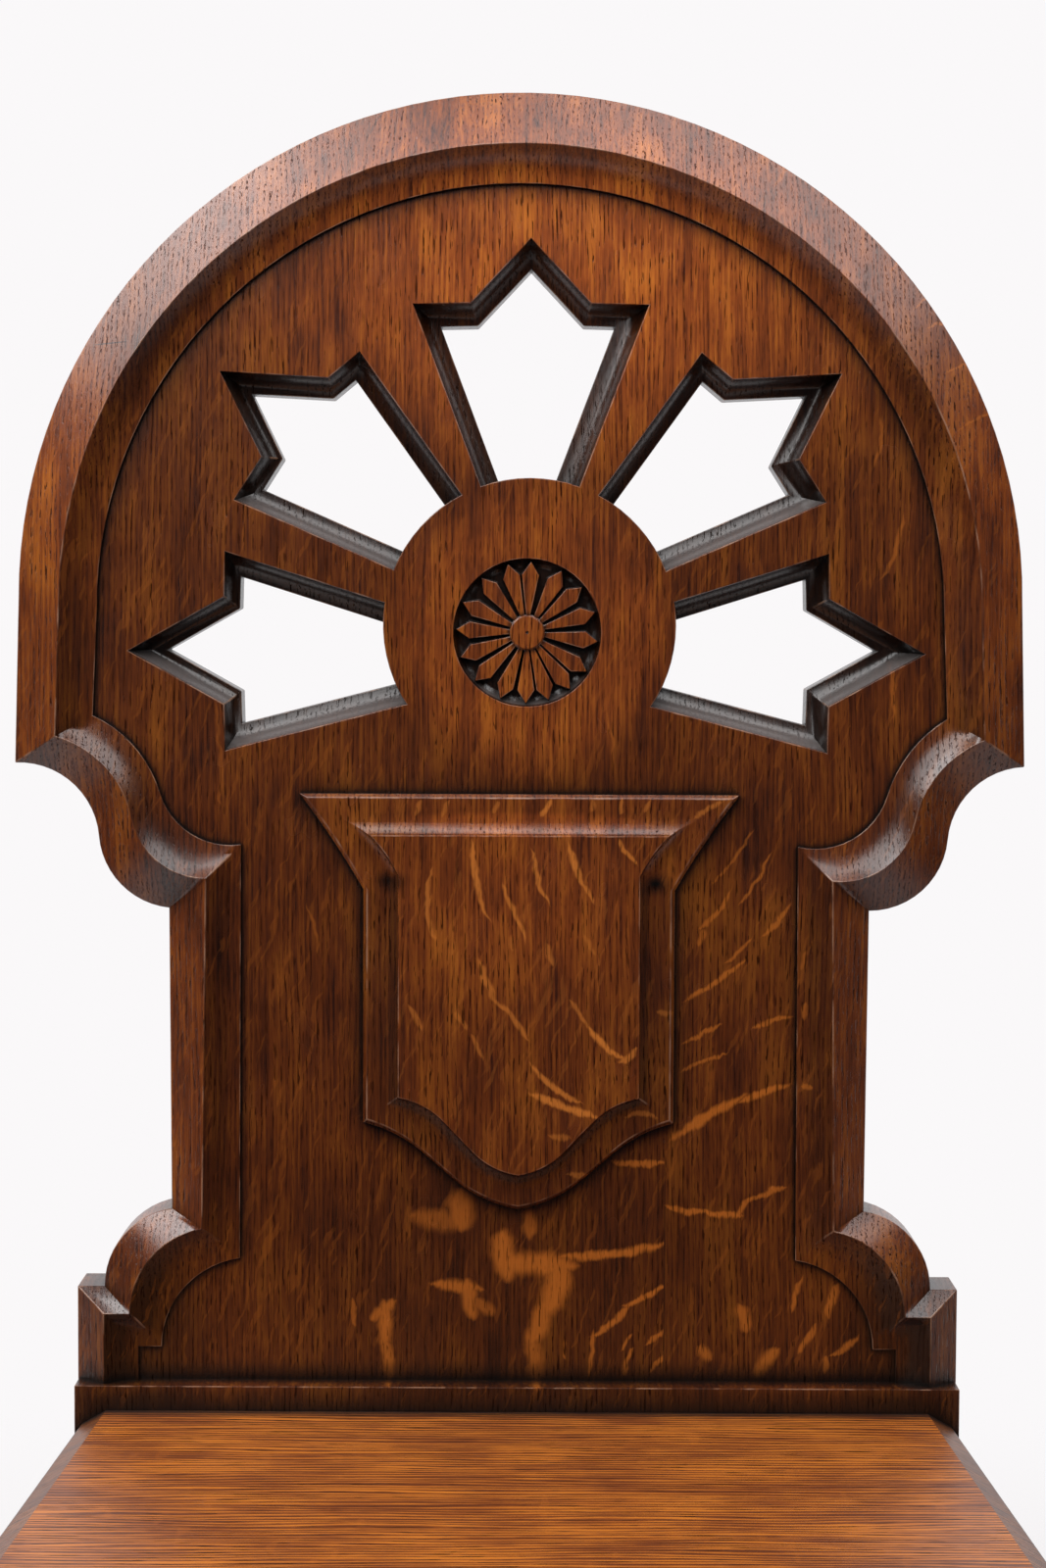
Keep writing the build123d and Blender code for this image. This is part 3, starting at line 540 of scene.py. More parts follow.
def carved_shade_and_dirt(tree, space):
    """Painted shade with the soiling of a century of polish in the openings' hollows and the rosette's
    ground, a painted shadow round the button, and painted shade under the step of the arch.
    """
    parts = add(tree, "SeparateXYZ", {0: space}).node.outputs
    sunk = below_field(tree, parts["Y"], OPENING_SHADE_AND_DIRT_MM)
    tracery = round_patch(tree, space, HUB, TRACERY_RADIUS, 0.02)
    hub = round_patch(tree, space, HUB, HUB_RADIUS - 1, 0.02)
    outside_hub = add(tree, "Math", {0: tracery, 1: hub}, operation="SUBTRACT")
    hollows = add(tree, "Math", {0: sunk, 1: outside_hub}, operation="MULTIPLY")

    deep = below_field(tree, parts["Y"], ROSETTE_SHADE_AND_DIRT_MM)
    recess = round_patch(tree, space, ROSETTE, ROSETTE_RADIUS + 0.5, 0.02)
    ground = add(tree, "Math", {0: deep, 1: recess}, operation="MULTIPLY")
    # A ring of painted shadow lies round the button.
    button = round_patch(tree, space, ROSETTE, BUTTON_RADIUS - 0.2, 0.04)
    round_button = round_patch(tree, space, ROSETTE, BUTTON_RADIUS + MOAT_WIDTH, 0.30)
    moat = add(tree, "Math", {0: round_button, 1: button}, operation="SUBTRACT")

    # The field under the step of the arch is shaded for the width of a finger.
    arch_middle = (0, ARCH_CENTRE)
    arch = round_patch(tree, space, arch_middle, STEP_RADIUS + 1, 0.01)
    clean = round_patch(tree, space, arch_middle, STEP_RADIUS, 0.05)
    rim = add(tree, "Math", {0: arch, 1: clean}, operation="SUBTRACT")
    high = add(tree, "MapRange", {
        "Value": parts["Z"], "From Min": ARCH_CENTRE - RIM_SHADE_RISE,
        "From Max": ARCH_CENTRE + RIM_SHADE_RISE, "To Max": RIM_SHADE,
    })
    rim = add(tree, "Math", {0: rim, 1: high}, operation="MULTIPLY")

    dirt = hollows
    for place in (ground, moat, rim):
        dirt = add(tree, "Math", {0: dirt, 1: place}, operation="MAXIMUM")
    return dirt


def shield_shade_and_dirt(tree, space):
    """Painted shade with the soiling of polish in the hollow between the band and the panel of the shield,
    and on the band, below the top.
    """
    depth = add(tree, "SeparateXYZ", {0: space}).node.outputs["Y"]
    below_panel = add(tree, "MapRange", {
        "Value": depth, "From Min": PANEL_DEPTH + 0.2, "From Max": PANEL_DEPTH + 1.6,
    }, **SOFTLY)
    above_band = add(tree, "MapRange", {
        "Value": depth, "From Min": BAND_DEPTH - 0.1, "From Max": BAND_DEPTH - 0.9,
    }, **SOFTLY)
    hollow = add(tree, "Math", {0: below_panel, 1: above_band}, operation="MULTIPLY")
    hollow = add(tree, "Math", {0: hollow, 1: HOLLOW_SHADE_AND_DIRT}, operation="MULTIPLY")
    band = add(tree, "Math", {0: below_panel, 1: BAND_SHADE_AND_DIRT, 2: hollow}, operation="MULTIPLY_ADD")
    middle, radii = UNDER_TOP
    under_top = patch(tree, space, middle, radii, 0.08)
    return add(tree, "Math", {0: band, 1: under_top}, operation="MULTIPLY")


def front_only(tree, space):
    """1 over the front and the carving of the back, 0 on its rear face."""
    depth = add(tree, "SeparateXYZ", {0: space}).node.outputs["Y"]
    return add(tree, "MapRange", {
        "Value": depth, "From Min": BOARD_THICKNESS - 0.6, "From Max": BOARD_THICKNESS - 0.2,
        "To Min": 1.0, "To Max": 0.0,
    })


def facing_up(tree):
    """How far a face looks up, from 0 for upright to 1 for level."""
    facing = add(tree, "NewGeometry", {}, output="Normal")
    return add(tree, "SeparateXYZ", {0: facing}).node.outputs["Z"]


def grown_wood(tree, grain, still, finish):
    """Colour of the wood, and the rings, streaks and clouds that give it."""
    # Good and poor years leave wide and narrow rings.
    across = add(tree, "SeparateXYZ", {0: grain}).node.outputs["X"]
    years = mottle(tree, grain, YEARS_MM, detail=1.0)
    turns = add(tree, "Math", {0: years, 1: YEARS_SPREAD}, operation="MULTIPLY")
    per_ring = 2 * math.pi / finish["ring_mm"]
    turns = add(tree, "Math", {0: across, 1: per_ring, 2: turns}, operation="MULTIPLY_ADD")
    ring = add(tree, "Math", {0: turns}, operation="SINE")

    # Broad bands of a few millimetres run with fine streaks between them, and clouds lie over both.
    band = mottle(tree, grain, BAND_MM, detail=3.0, roughness=0.6)
    streak = mottle(tree, grain, finish["streak_mm"], detail=2.0, roughness=0.6)
    cloud = mottle(tree, still, CLOUD_MM, detail=4.0, roughness=0.6)
    tone = add(tree, "Math", {0: ring, 1: -finish["ring_tone"]}, operation="MULTIPLY")
    for part, share in ((band, BAND_SHARE), (streak, STREAK_SHARE), (cloud, CLOUD_SHARE)):
        tone = add(tree, "Math", {0: part, 1: share, 2: tone}, operation="MULTIPLY_ADD")
    colour = add(tree, "ValToRGB", {"Fac": tone})
    ramp = colour.node.color_ramp
    ramp.elements[0].position = DARK_TONE
    ramp.elements[0].color = linear(finish["dark"])
    ramp.elements[1].position = LIGHT_TONE
    ramp.elements[1].color = linear(finish["light"])
    ramp.elements.new(MIDDLE_TONE).color = linear(finish["middle"])
    return colour, ring, streak, cloud


def open_pores(tree, grain, ring, cloud, finish):
    """Open pores in a row in each growth ring, drawn twice as wide as real, to show at all."""
    rows = add(tree, "MapRange", {
        "Value": ring, "From Min": -0.3, "From Max": 0.6, "To Min": 0.10,
    }, **SOFTLY)
    cut = mottle(tree, grain, finish["pore_mm"], detail=1.0, roughness=0.65)
    pores = add(tree, "MapRange", {"Value": cut, "From Min": 0.55, "From Max": 0.60}, **SOFTLY)
    coarse = add(tree, "MapRange", {"Value": cloud, "From Min": 0.38, "From Max": 0.60, "To Min": 0.45})
    for share in (rows, coarse):
        pores = add(tree, "Math", {0: pores, 1: share}, operation="MULTIPLY")
    return pores


def stain_with_painted_light(tree, colour, space, in_front, carving):
    """The stain of the back, lifted or darkened from place to place by its own tone, by polish and
    soiling, and by painted light and shade.
    """
    gain = painted_light_and_tone_gain(tree, space, carving.glows, carving.base_gain)
    bevel, cove = carved_slopes(tree, space)
    # Bevels that lean out get painted light and coves that lean in get painted shade, with their polish
    # and soiling.
    gain = add(tree, "Math", {0: bevel, 1: BEVEL_LIGHT_AND_POLISH_GAIN, 2: gain}, operation="MULTIPLY_ADD")
    gain = add(tree, "Math", {0: cove, 1: COVE_SHADE_AND_DIRT_GAIN, 2: gain}, operation="MULTIPLY_ADD")
    gain = add(tree, "MapRange", {"Value": in_front, "To Min": carving.base_gain, "To Max": gain})
    return add(tree, "VectorMath", {0: colour, "Scale": gain}, operation="SCALE")


def carved_flecks(tree, colour, space, in_front, streak, finish, carving):
    """Ray flecks, sheets of cells that lie open on the face; fine ones lean all over the back."""
    ragged = wander(tree, space, RAGGED_MM, RAGGED_REACH_MM)
    ragged = wander(tree, ragged, FIBRE_MM, FIBRE_REACH_MM)
    leaning = add(tree, "Mapping", {
        "Vector": ragged, "Rotation": (0, FINE_FLECK_LEAN, 0),
    }, vector_type="POINT")
    leaning = wander(tree, leaning, FINE_FLECK_SWAY_MM, FINE_FLECK_REACH_MM)
    fine = mottle(tree, leaning, FINE_FLECK_MM, detail=1.0)
    fine = add(tree, "MapRange", {
        "Value": fine, "From Min": 0.60, "From Max": 0.68, "To Max": FINE_FLECK_COVER,
    }, **SOFTLY)
    colour = add(tree, "Mix", {0: fine, 6: colour, 7: linear(finish["fleck"])}, **COLOURS)

    broad = strokes(tree, ragged, carving.flecks)
    fibre = add(tree, "MapRange", {"Value": streak, "From Min": 0.3, "From Max": 0.6, "To Min": 0.8})
    fibre = add(tree, "Math", {0: fibre, 1: FLECK_LIFT}, operation="MULTIPLY")
    broad = add(tree, "Math", {0: broad, 1: fibre}, operation="MULTIPLY", use_clamp=True)
    broad = add(tree, "Math", {0: broad, 1: in_front}, operation="MULTIPLY")
    return add(tree, "Mix", {0: broad, 6: colour, 7: linear(finish["fleck"])}, **COLOURS)


def plain_flecks(tree, colour, grain, finish):
    """Fine ray flecks of a plain board, and painted shade on the faces that are not level."""
    sheets = mottle(tree, grain, SHEET_MM, detail=1.0)
    fine = add(tree, "MapRange", {
        "Value": sheets, "From Min": 0.66, "From Max": 0.72, "To Max": FINE_FLECK_COVER,
    }, **SOFTLY)
    colour = add(tree, "Mix", {0: fine, 6: colour, 7: linear(finish["fleck"])}, **COLOURS)
    # On the seat, faces that are not level are painted darker: painted shade on its edges.
    edge = add(tree, "MapRange", {
        "Value": facing_up(tree), "From Min": 0.97, "From Max": 0.80, "To Max": finish["edge"],
    }, **SOFTLY)
    return add(tree, "Mix", {0: edge, 6: colour, 7: linear(finish["pore"])}, **COLOURS)


def corner_shade_and_dirt(tree):
    """Free air round a place, and painted shade with the wax and dust that settle in every inner corner.

    The painted shade is hard black in the angle and brown further out."""
    near = {"output": "AO", "samples": AIR_SAMPLES}
    free_air = add(tree, "AmbientOcclusion", {"Distance": BROAD_SHADE_AND_DIRT_REACH_MM * MM}, **near)
    broad_shade_and_dirt = add(tree, "MapRange", {
        "Value": free_air, "From Min": 0.985, "From Max": 0.68, "To Max": BROAD_SHADE_AND_DIRT_COVER,
    }, **SOFTLY)
    angle = add(tree, "AmbientOcclusion", {"Distance": TIGHT_SHADE_AND_DIRT_REACH_MM * MM}, **near)
    tight_shade_and_dirt = add(tree, "MapRange", {
        "Value": angle, "From Min": 0.93, "From Max": 0.65, "To Max": TIGHT_SHADE_AND_DIRT_COVER,
    }, **SOFTLY)
    return free_air, add(tree, "Math", {0: broad_shade_and_dirt, 1: tight_shade_and_dirt}, operation="MAXIMUM")


def painted_grey_reflection(tree, colour, hollows, finish):
    """Painted grey reflection of the bright surround on the ledges of the hollows that face up."""
    ledge = add(tree, "MapRange", {
        "Value": facing_up(tree), "From Min": 0.35, "From Max": 0.85, "To Max": PAINTED_REFLECTION_COVER,
    }, **SOFTLY)
    painted_reflection = add(tree, "Math", {0: hollows, 1: ledge}, operation="MULTIPLY")
    return add(tree, "Mix", {0: painted_reflection, 6: colour, 7: linear(finish["painted_reflection"])}, **COLOURS)


def worn_and_highlit_arrises(tree, colour, still, free_air, finish):
    """Arrises worn through the stain to pale wood, more in some places than in others; the pale colour
    also stands for a painted highlight along them.
    """
    worn_and_highlit = add(tree, "Attribute", {}, output="Fac", attribute_name="worn")
    handled = add(tree, "MapRange", {
        "Value": mottle(tree, still, HANDLED_MM), "From Min": 0.46, "From Max": 0.62,
        "To Min": 0.04, "To Max": 0.55,
    })
    reached = add(tree, "MapRange", {"Value": free_air, "From Min": 0.86, "From Max": 0.97})
    for share in (handled, reached):
        worn_and_highlit = add(tree, "Math", {0: worn_and_highlit, 1: share}, operation="MULTIPLY")
    return add(tree, "Mix", {0: worn_and_highlit, 6: colour, 7: linear(finish["wear_and_highlight"])}, **COLOURS)


def waxed(tree, colour, still, pores, finish):
    """Wax that lies smooth between the pores, over the faint ripple left by the gouge and the plane."""
    ripple = mottle(tree, still, RIPPLE_MM, detail=1.0)
    ripple = add(tree, "Math", {0: ripple, 1: RIPPLE_SHARE}, operation="MULTIPLY")
    height = add(tree, "Math", {0: pores, 1: -1.0, 2: ripple}, operation="MULTIPLY_ADD")
    bump = add(tree, "Bump", {"Height": height, "Distance": RELIEF_MM * MM, "Strength": RELIEF_STRENGTH})
    smear = mottle(tree, still, SMEAR_MM)
    dullest = finish["roughness"] - SMEAR_SHARE / 2
    sheen = add(tree, "Math", {0: smear, 1: SMEAR_SHARE, 2: dullest}, operation="MULTIPLY_ADD")
    unwaxed = add(tree, "MapRange", {"Value": pores, "To Min": 1.0, "To Max": 0.08})
    surface = add(tree, "BsdfPrincipled", {
        "Base Color": colour, "Roughness": sheen, "IOR": WAX_IOR, "Normal": bump,
        "Specular Tint": unwaxed,
    })
    add(tree, "OutputMaterial", {"Surface": surface})


def oak(name, finish, turn, seed, carving=None):
    """Waxed quarter-sawn oak: streaks, rows of open pores, ray flecks, painted shade with wax and dust in
    the corners, worn arrises that also carry a painted highlight.

    The pieces of the back also give the carving, with the marks, the painted light and shade and the
    soiling of their own places."""
    material, tree = new_material(name)
    still = grain_space(tree, turn, (0, 0, 0))
    plank = grain_space(tree, turn, [shift * seed for shift in PLANK_SHIFT_MM])
    grain = wander(tree, plank, SWAY_MM, SWAY_REACH_MM)
    colour, ring, streak, cloud = grown_wood(tree, grain, still, finish)
    pores = open_pores(tree, grain, ring, cloud, finish)
    if carving:
        space = board_space(tree)
        in_front = front_only(tree, space)
        colour = stain_with_painted_light(tree, colour, space, in_front, carving)
        colour = carved_flecks(tree, colour, space, in_front, streak, finish, carving)
    else:
        colour = plain_flecks(tree, colour, grain, finish)
    inked = add(tree, "Math", {0: pores, 1: PORE_COVER}, operation="MULTIPLY")
    colour = add(tree, "Mix", {0: inked, 6: colour, 7: linear(finish["pore"])}, **COLOURS)
    if carving and carving.hairlines:
        cracks = strokes(tree, space, carving.hairlines)
        colour = add(tree, "Mix", {0: cracks, 6: colour, 7: linear(finish["pore"])}, **COLOURS)

    free_air, dirt = corner_shade_and_dirt(tree)
    if carving:
        hollows = add(tree, "Math", {0: carving.dirt(tree, space), 1: HOLLOW_COVER}, operation="MULTIPLY")
        hollows = add(tree, "Math", {0: hollows, 1: in_front}, operation="MULTIPLY")
        dirt = add(tree, "Math", {0: dirt, 1: hollows}, operation="MAXIMUM")
    # Painted shade, with wax and dust, blackens the colour in the corners and the hollows.
    colour = add(tree, "Mix", {0: dirt, 6: colour, 7: linear(finish["shade_and_grime"])}, **COLOURS)
    if carving:
        # Painted grey reflection on the ledges of the hollows that face up.
        colour = painted_grey_reflection(tree, colour, hollows, finish)
    # Pale worn arrises, which also stand for a painted highlight.
    colour = worn_and_highlit_arrises(tree, colour, still, free_air, finish)
    waxed(tree, colour, still, pores, finish)
    return material


def screw_steel():
    """Turned steel wood screws, dulled and a little rusted."""
    material, tree = new_material("aged_screw_steel")
    space = grain_space(tree, (0, 0, 0), (0, 0, 0))
    spots = mottle(tree, space, RUST_MM)
    rust = add(tree, "MapRange", {"Value": spots, "From Min": 0.45, "From Max": 0.65}, **SOFTLY)
    colour = add(tree, "Mix", {0: rust, 6: linear(STEEL_GREY), 7: linear(RUST_BROWN)}, **COLOURS)
    bare = add(tree, "Math", {0: 1.0, 1: rust}, operation="SUBTRACT")
    surface = add(tree, "BsdfPrincipled", {"Base Color": colour, "Metallic": bare, "Roughness": 0.5})
    add(tree, "OutputMaterial", {"Surface": surface})
    return material


# Edges that turn more than this are arrises and show as such.
ARRIS_ANGLE = math.radians(28)

# An edge shorter than this many widths of the rounding isn't rounded.
SHORTEST_ARRIS = 2.5

# Corners of a CAD mesh nearer than this are one, and faces that turn less than this are one flat face.
MERGED_MM = 0.005
FLAT_ANGLE = math.radians(0.4)

# An edge this near the plane of a glue joint lies in it.
JOINT_REACH_MM = 0.02


def on_glue_joint(edge):
    """Whether an edge of the back lies in the plane of a glue joint."""
    for joint in (LEFT_JOINT, RIGHT_JOINT):
        if all(abs(corner.co.x - joint * MM) < JOINT_REACH_MM * MM for corner in edge.verts):
            return True
    return False


def wear_arrises(shape, width):
    """Round the convex arrises, and mark the new faces as worn."""
    arrises = []
    for edge in shape.edges:
        long_enough = edge.calc_length() > SHORTEST_ARRIS * width
        if edge.is_convex and edge.calc_face_angle(0) > ARRIS_ANGLE and long_enough:
            if not on_glue_joint(edge):
                arrises.append(edge)
    made = bmesh.ops.bevel(
        shape, geom=arrises, offset=width, offset_type="OFFSET", segments=2, profile=0.5, affect="EDGES",
        clamp_overlap=False, material=-1)
    worn = shape.loops.layers.float.new("worn")
    for face in made["faces"]:
        for corner in face.loops:
            corner[worn] = 1.0


def dress(name, material, arris=0.0):
    """Merged copy of a CAD piece with softened arrises, standing for that piece."""
    mesh = bpy.data.meshes.new(name + "_dressed")
    shape = bmesh.new()
    shape.from_mesh(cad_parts[name].data)
    bmesh.ops.remove_doubles(shape, verts=shape.verts, dist=MERGED_MM * MM)
    bmesh.ops.dissolve_limit(shape, angle_limit=FLAT_ANGLE, verts=shape.verts, edges=shape.edges)
    if arris:
        wear_arrises(shape, arris)
    for face in shape.faces:
        face.smooth = True
    shape.to_mesh(mesh)
    shape.free()
    # The CAD mesh brings its own corner normals, which no longer fit the softened arrises.
    mesh.attributes.remove(mesh.attributes["custom_normal"])
    mesh.set_sharp_from_angle(angle=ARRIS_ANGLE)
    piece = bpy.data.objects.new(name + "_dressed", mesh)
    bpy.context.scene.collection.objects.link(piece)
    mesh.materials.append(material)
    # Flat faces stay flat to the eye, and only the narrow roundings between them shade smoothly.
    shading = piece.modifiers.new("flat_faces", "WEIGHTED_NORMAL")
    shading.mode = "FACE_AREA"
    shading.weight = 100
    shading.keep_sharp = True
    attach(piece, "root")
    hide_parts(name)
    return piece


class HallChairSettings(bpy.types.PropertyGroup):
    """Sizes and light levels that a user would change."""

    arris: bpy.props.FloatProperty(
        name="Worn arris", description="Width of the rounding on worn edges", default=0.45 * MM, min=0.0,
        unit="LENGTH", precision=5)
    key_power: bpy.props.FloatProperty(
        name="Key softbox", description="Power of the large soft light above and left of the camera",
        default=28.0, min=0.0, unit="POWER")
    side_power: bpy.props.FloatProperty(
        name="Side window", description="Power of the soft light high on the left", default=26.0, min=0.0,
        unit="POWER")
    top_power: bpy.props.FloatProperty(
        name="Overhead softbox", description="Power of the soft light overhead", default=22.0, min=0.0,
        unit="POWER")
    backdrop: bpy.props.FloatVectorProperty(
        name="Backdrop", description="Colour of the pale backdrop as the camera sees it",
        default=linear("#faf8f9")[:3], size=3, subtype="COLOR", min=0.0, max=1.0)
    camera_distance: bpy.props.FloatProperty(
        name="Camera distance", description="From the lens to the front of the back", default=1.171,
        min=0.1, unit="LENGTH")
    camera_height: bpy.props.FloatProperty(
        name="Camera height", description="Lens height above the floor", default=0.867, unit="LENGTH")
    camera_pitch: bpy.props.FloatProperty(
        name="Camera pitch", description="How far the camera looks down", default=math.radians(7.3),
        subtype="ANGLE")
    camera_roll: bpy.props.FloatProperty(
        name="Camera roll", description="How far the camera leans to its left",
        default=math.radians(0.26), subtype="ANGLE")


class CHAIR_OT_carved_back(bpy.types.Operator):
    """Dress the three boards of the back and the applied shield"""

    bl_idname = "chair.carved_back"
    bl_label = "Carved back"

    def execute(self, context):
        arris = context.scene.hall_chair.arris
        marks = (
            (LEFT_FLECKS, LEFT_HAIRLINES),
            (CENTRE_FLECKS, CENTRE_HAIRLINES),
            (RIGHT_FLECKS, RIGHT_HAIRLINES),
        )
        for number, name in enumerate(BACK_BOARDS):
            flecks, hairlines = marks[number]
            carving = Carving(flecks, hairlines, BACK_PAINTED_LIGHT_AND_TONE, BACK_GAIN, carved_shade_and_dirt)
            label = "waxed_quartered_oak_" + name
            finish = oak(label, BACK_OAK, GRAIN_UP_THE_BACK, FIRST_BACK_SEED + number, carving)
            dress(name, finish, arris)
        carving = Carving(SHIELD_FLECKS, (), SHIELD_PAINTED_LIGHT_AND_TONE, SHIELD_GAIN, shield_shade_and_dirt)
        finish = oak("waxed_quartered_oak_shield", SHIELD_OAK, GRAIN_UP_THE_BACK, SHIELD_SEED, carving)
        dress("shield_cartouche", finish, arris)
        return {"FINISHED"}


class CHAIR_OT_board_seat(bpy.types.Operator):
    """Dress the three boards of the seat"""

    bl_idname = "chair.board_seat"
    bl_label = "Board seat"

    def execute(self, context):
        for number, name in enumerate(SEAT_BOARDS):
            finish = oak("waxed_seat_oak_" + name, SEAT_OAK, GRAIN_ACROSS, FIRST_SEAT_SEED + number)
            dress(name, finish)
        return {"FINISHED"}


class CHAIR_OT_seat_frame(bpy.types.Operator):
    """Dress the legs, rails and corner blocks"""

    bl_idname = "chair.seat_frame"
    bl_label = "Seat frame"

    def execute(self, context):
        arris = context.scene.hall_chair.arris
        groups = (
            ("stained_frame_oak_leg", "frame_oak", FRAME_OAK, GRAIN_UPRIGHT, UPRIGHTS, arris),
            ("stained_frame_oak_rail", "frame_oak", FRAME_OAK, GRAIN_ACROSS, CROSS_RAILS, arris),
            ("stained_frame_oak_side_rail", "frame_oak", FRAME_OAK, GRAIN_BACKWARD, SIDE_RAILS, arris),
            ("bare_block_oak", "block_oak", BLOCK_OAK, GRAIN_ACROSS, CORNER_BLOCKS, 0.0),
            ("stained_peg_oak", "frame_oak", FRAME_OAK, GRAIN_ACROSS, PEGS, 0.0),
            ("bare_dowel_oak", "block_oak", BLOCK_OAK, GRAIN_ACROSS, DOWELS, 0.0),
        )
        for number, (label, slot, colours, turn, names, rounding) in enumerate(groups):
            finish = oak(label, colours, turn, FIRST_FRAME_SEED + number)
            for name in names:
                dress(name, finish, rounding)
        return {"FINISHED"}


class CHAIR_OT_screws(bpy.types.Operator):
    """Dress the wood screws"""

    bl_idname = "chair.screws"
    bl_label = "Screws"

    def execute(self, context):
        steel = screw_steel()
        for name in SCREWS:
            dress(name, steel)
        return {"FINISHED"}


# Brightness of the pale surround: overhead, behind the chair, and on the camera's side.
OVERHEAD_LEVEL = 0.55
BEHIND_LEVEL = 0.75
DIM_LEVEL = 0.045
SURROUND = "#fbfaff"

# The floor fades into the backdrop between these two distances from the chair.
FLOOR_PAINT = "#cfccca"
FLOOR_RADIUS = 1.8
FADE_START = 0.5
FADE_END = 1.5

# Places and sizes of the soft lights, all of which face the heart of the back.
HEART_OF_BACK = (0.0, 0.18, 0.8)
KEY_PLACE = (-0.70, -0.80, 1.98)
KEY_SIZE = 1.3
SIDE_PLACE = (-1.18, 0.10, 1.98)
SIDE_SIZE = 1.0
TOP_PLACE = (0.68, -0.42, 2.15)
TOP_SIZE = 1.3

# Lens and sensor in millimetres, and how far the camera stands right of the chair's middle.
LENS_MM = 66.15
SENSOR_MM = 36.0
CAMERA_OFFSET_MM = 1.4


def studio_world(backdrop):
    """Pale surround: white behind the chair, soft above it and dark on the camera's side."""
    world = bpy.data.worlds.new("pale_studio")
    bpy.context.scene.world = world
    world.use_nodes = True
    tree = world.node_tree
    tree.nodes.clear()
    direction = add(tree, "TexCoord", {}, output="Generated")
    parts = add(tree, "SeparateXYZ", {0: direction}).node.outputs
    above = add(tree, "MapRange", {
        "Value": parts["Z"], "From Min": 0.25, "From Max": 0.95, "To Max": OVERHEAD_LEVEL,
    }, **SOFTLY)
    behind = add(tree, "MapRange", {
        "Value": parts["Y"], "From Min": -0.15, "From Max": 0.45, "To Max": BEHIND_LEVEL,
    }, **SOFTLY)
    level = add(tree, "Math", {0: above, 1: behind}, operation="ADD")
    level = add(tree, "Math", {0: level, 1: DIM_LEVEL}, operation="ADD")
    surround = add(tree, "Background", {"Color": linear(SURROUND), "Strength": level})
    seen = add(tree, "Background", {"Color": list(backdrop) + [1.0], "Strength": 1.0})
    rays = add(tree, "LightPath", {}).node.outputs
    mirrored = add(tree, "Math", {
        0: rays["Is Glossy Ray"], 1: rays["Is Transmission Ray"],
    }, operation="MAXIMUM")
    mirrored = add(tree, "Math", {0: mirrored, 1: behind}, operation="MULTIPLY")
    shown = add(tree, "Math", {0: rays["Is Camera Ray"], 1: mirrored}, operation="MAXIMUM")
    chosen = add(tree, "MixShader", {0: shown, 1: surround, 2: seen})
    add(tree, "OutputWorld", {"Surface": chosen})


def pale_floor():
    """Floor that keeps the chair's shadow and fades into the backdrop."""
    shape = bmesh.new()
    bmesh.ops.create_circle(shape, cap_ends=True, segments=64, radius=FLOOR_RADIUS)
    mesh = bpy.data.meshes.new("pale_floor")
    shape.to_mesh(mesh)
    shape.free()
    floor = bpy.data.objects.new("pale_floor", mesh)
    bpy.context.scene.collection.objects.link(floor)
    material, tree = new_material("pale_studio_floor")
    coordinates = add(tree, "TexCoord", {}, output="Object")
    distance = add(tree, "VectorMath", {0: coordinates}, output="Value", operation="LENGTH")
    fade = add(tree, "MapRange", {
        "Value": distance, "From Min": FADE_START, "From Max": FADE_END,
    }, **SOFTLY)
    paint = add(tree, "BsdfDiffuse", {"Color": linear(FLOOR_PAINT)})
    clear = add(tree, "BsdfTransparent", {})
    chosen = add(tree, "MixShader", {0: fade, 1: paint, 2: clear})
    add(tree, "OutputMaterial", {"Surface": chosen})
    mesh.materials.append(material)


def softbox(name, place, size, power):
    """Large square lamp that faces the heart of the back."""
    lamp = bpy.data.lights.new(name, "AREA")
    lamp.shape = "SQUARE"
    lamp.size = size
    lamp.energy = power
    light = bpy.data.objects.new(name, lamp)
    light.location = place
    aim = Vector(HEART_OF_BACK) - light.location
    light.rotation_euler = aim.to_track_quat("-Z", "Y").to_euler()
    bpy.context.scene.collection.objects.link(light)


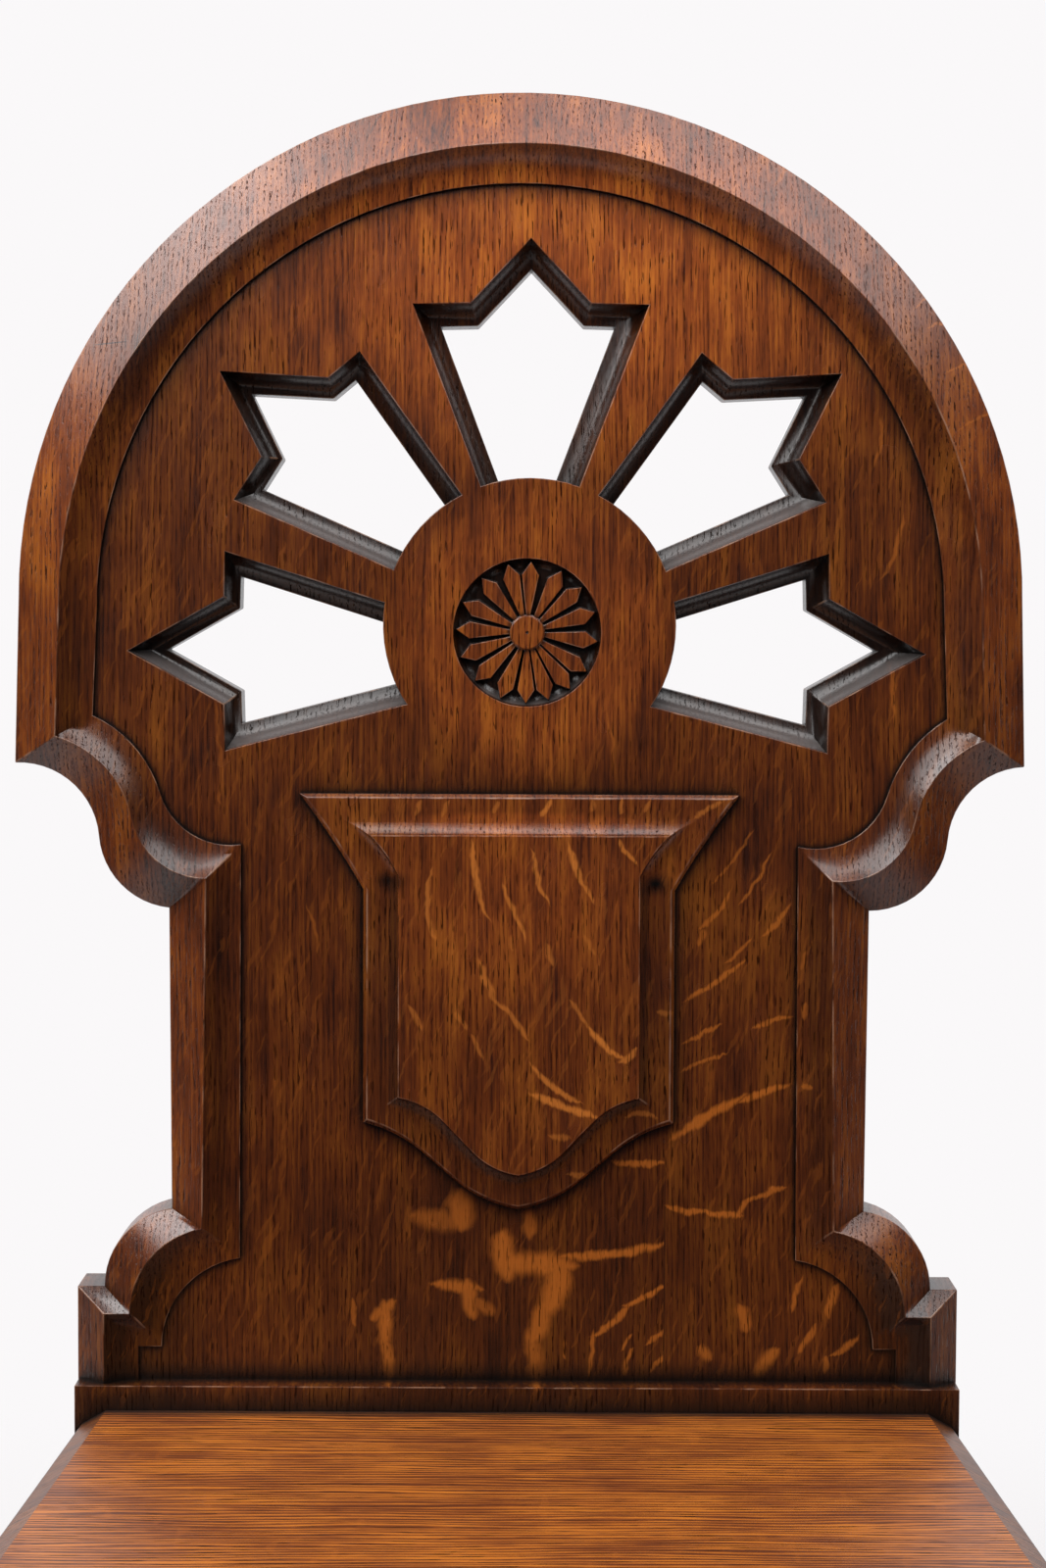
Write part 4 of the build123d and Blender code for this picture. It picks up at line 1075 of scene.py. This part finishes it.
class CHAIR_OT_studio(bpy.types.Operator):
    """Set the floor, the surround, the soft lights and the camera"""

    bl_idname = "chair.studio"
    bl_label = "Studio"

    def execute(self, context):
        scene = context.scene
        settings = scene.hall_chair
        studio_world(settings.backdrop)
        pale_floor()
        softbox("key_softbox", KEY_PLACE, KEY_SIZE, settings.key_power)
        softbox("side_window", SIDE_PLACE, SIDE_SIZE, settings.side_power)
        softbox("overhead_softbox", TOP_PLACE, TOP_SIZE, settings.top_power)

        lens = bpy.data.cameras.new("photo_camera")
        lens.sensor_fit = "VERTICAL"
        lens.sensor_height = SENSOR_MM
        lens.lens = LENS_MM
        camera = bpy.data.objects.new("photo_camera", lens)
        camera_y = PLINTH_FACE_Y - settings.camera_distance
        camera.location = (CAMERA_OFFSET_MM * MM, camera_y, settings.camera_height)
        level = Euler((math.radians(90) - settings.camera_pitch, 0, 0)).to_matrix()
        roll = Euler((0, 0, settings.camera_roll)).to_matrix()
        camera.rotation_euler = (level @ roll).to_euler()
        scene.collection.objects.link(camera)
        scene.camera = camera
        scene.view_settings.view_transform = "Standard"
        return {"FINISHED"}


class CHAIR_PT_workshop(bpy.types.Panel):
    """The chair's pieces and its studio"""

    bl_idname = "CHAIR_PT_workshop"
    bl_label = "Hall Chair"
    bl_space_type = "VIEW_3D"
    bl_region_type = "UI"
    bl_category = "Hall Chair"

    def draw(self, context):
        settings = context.scene.hall_chair
        for name in HallChairSettings.__annotations__:
            self.layout.prop(settings, name)
        for operator in OPERATORS:
            self.layout.operator(operator.bl_idname)


OPERATORS = (
    CHAIR_OT_carved_back,
    CHAIR_OT_board_seat,
    CHAIR_OT_seat_frame,
    CHAIR_OT_screws,
    CHAIR_OT_studio,
)
CLASSES = (HallChairSettings,) + OPERATORS + (CHAIR_PT_workshop,)


def register():
    for cls in CLASSES:
        bpy.utils.register_class(cls)
    bpy.types.Scene.hall_chair = bpy.props.PointerProperty(type=HallChairSettings)


def unregister():
    del bpy.types.Scene.hall_chair
    for cls in reversed(CLASSES):
        bpy.utils.unregister_class(cls)


def main():
    register()
    bpy.ops.chair.carved_back()
    bpy.ops.chair.board_seat()
    bpy.ops.chair.seat_frame()
    bpy.ops.chair.screws()
    bpy.ops.chair.studio()


if __name__ == "__main__":
    main()
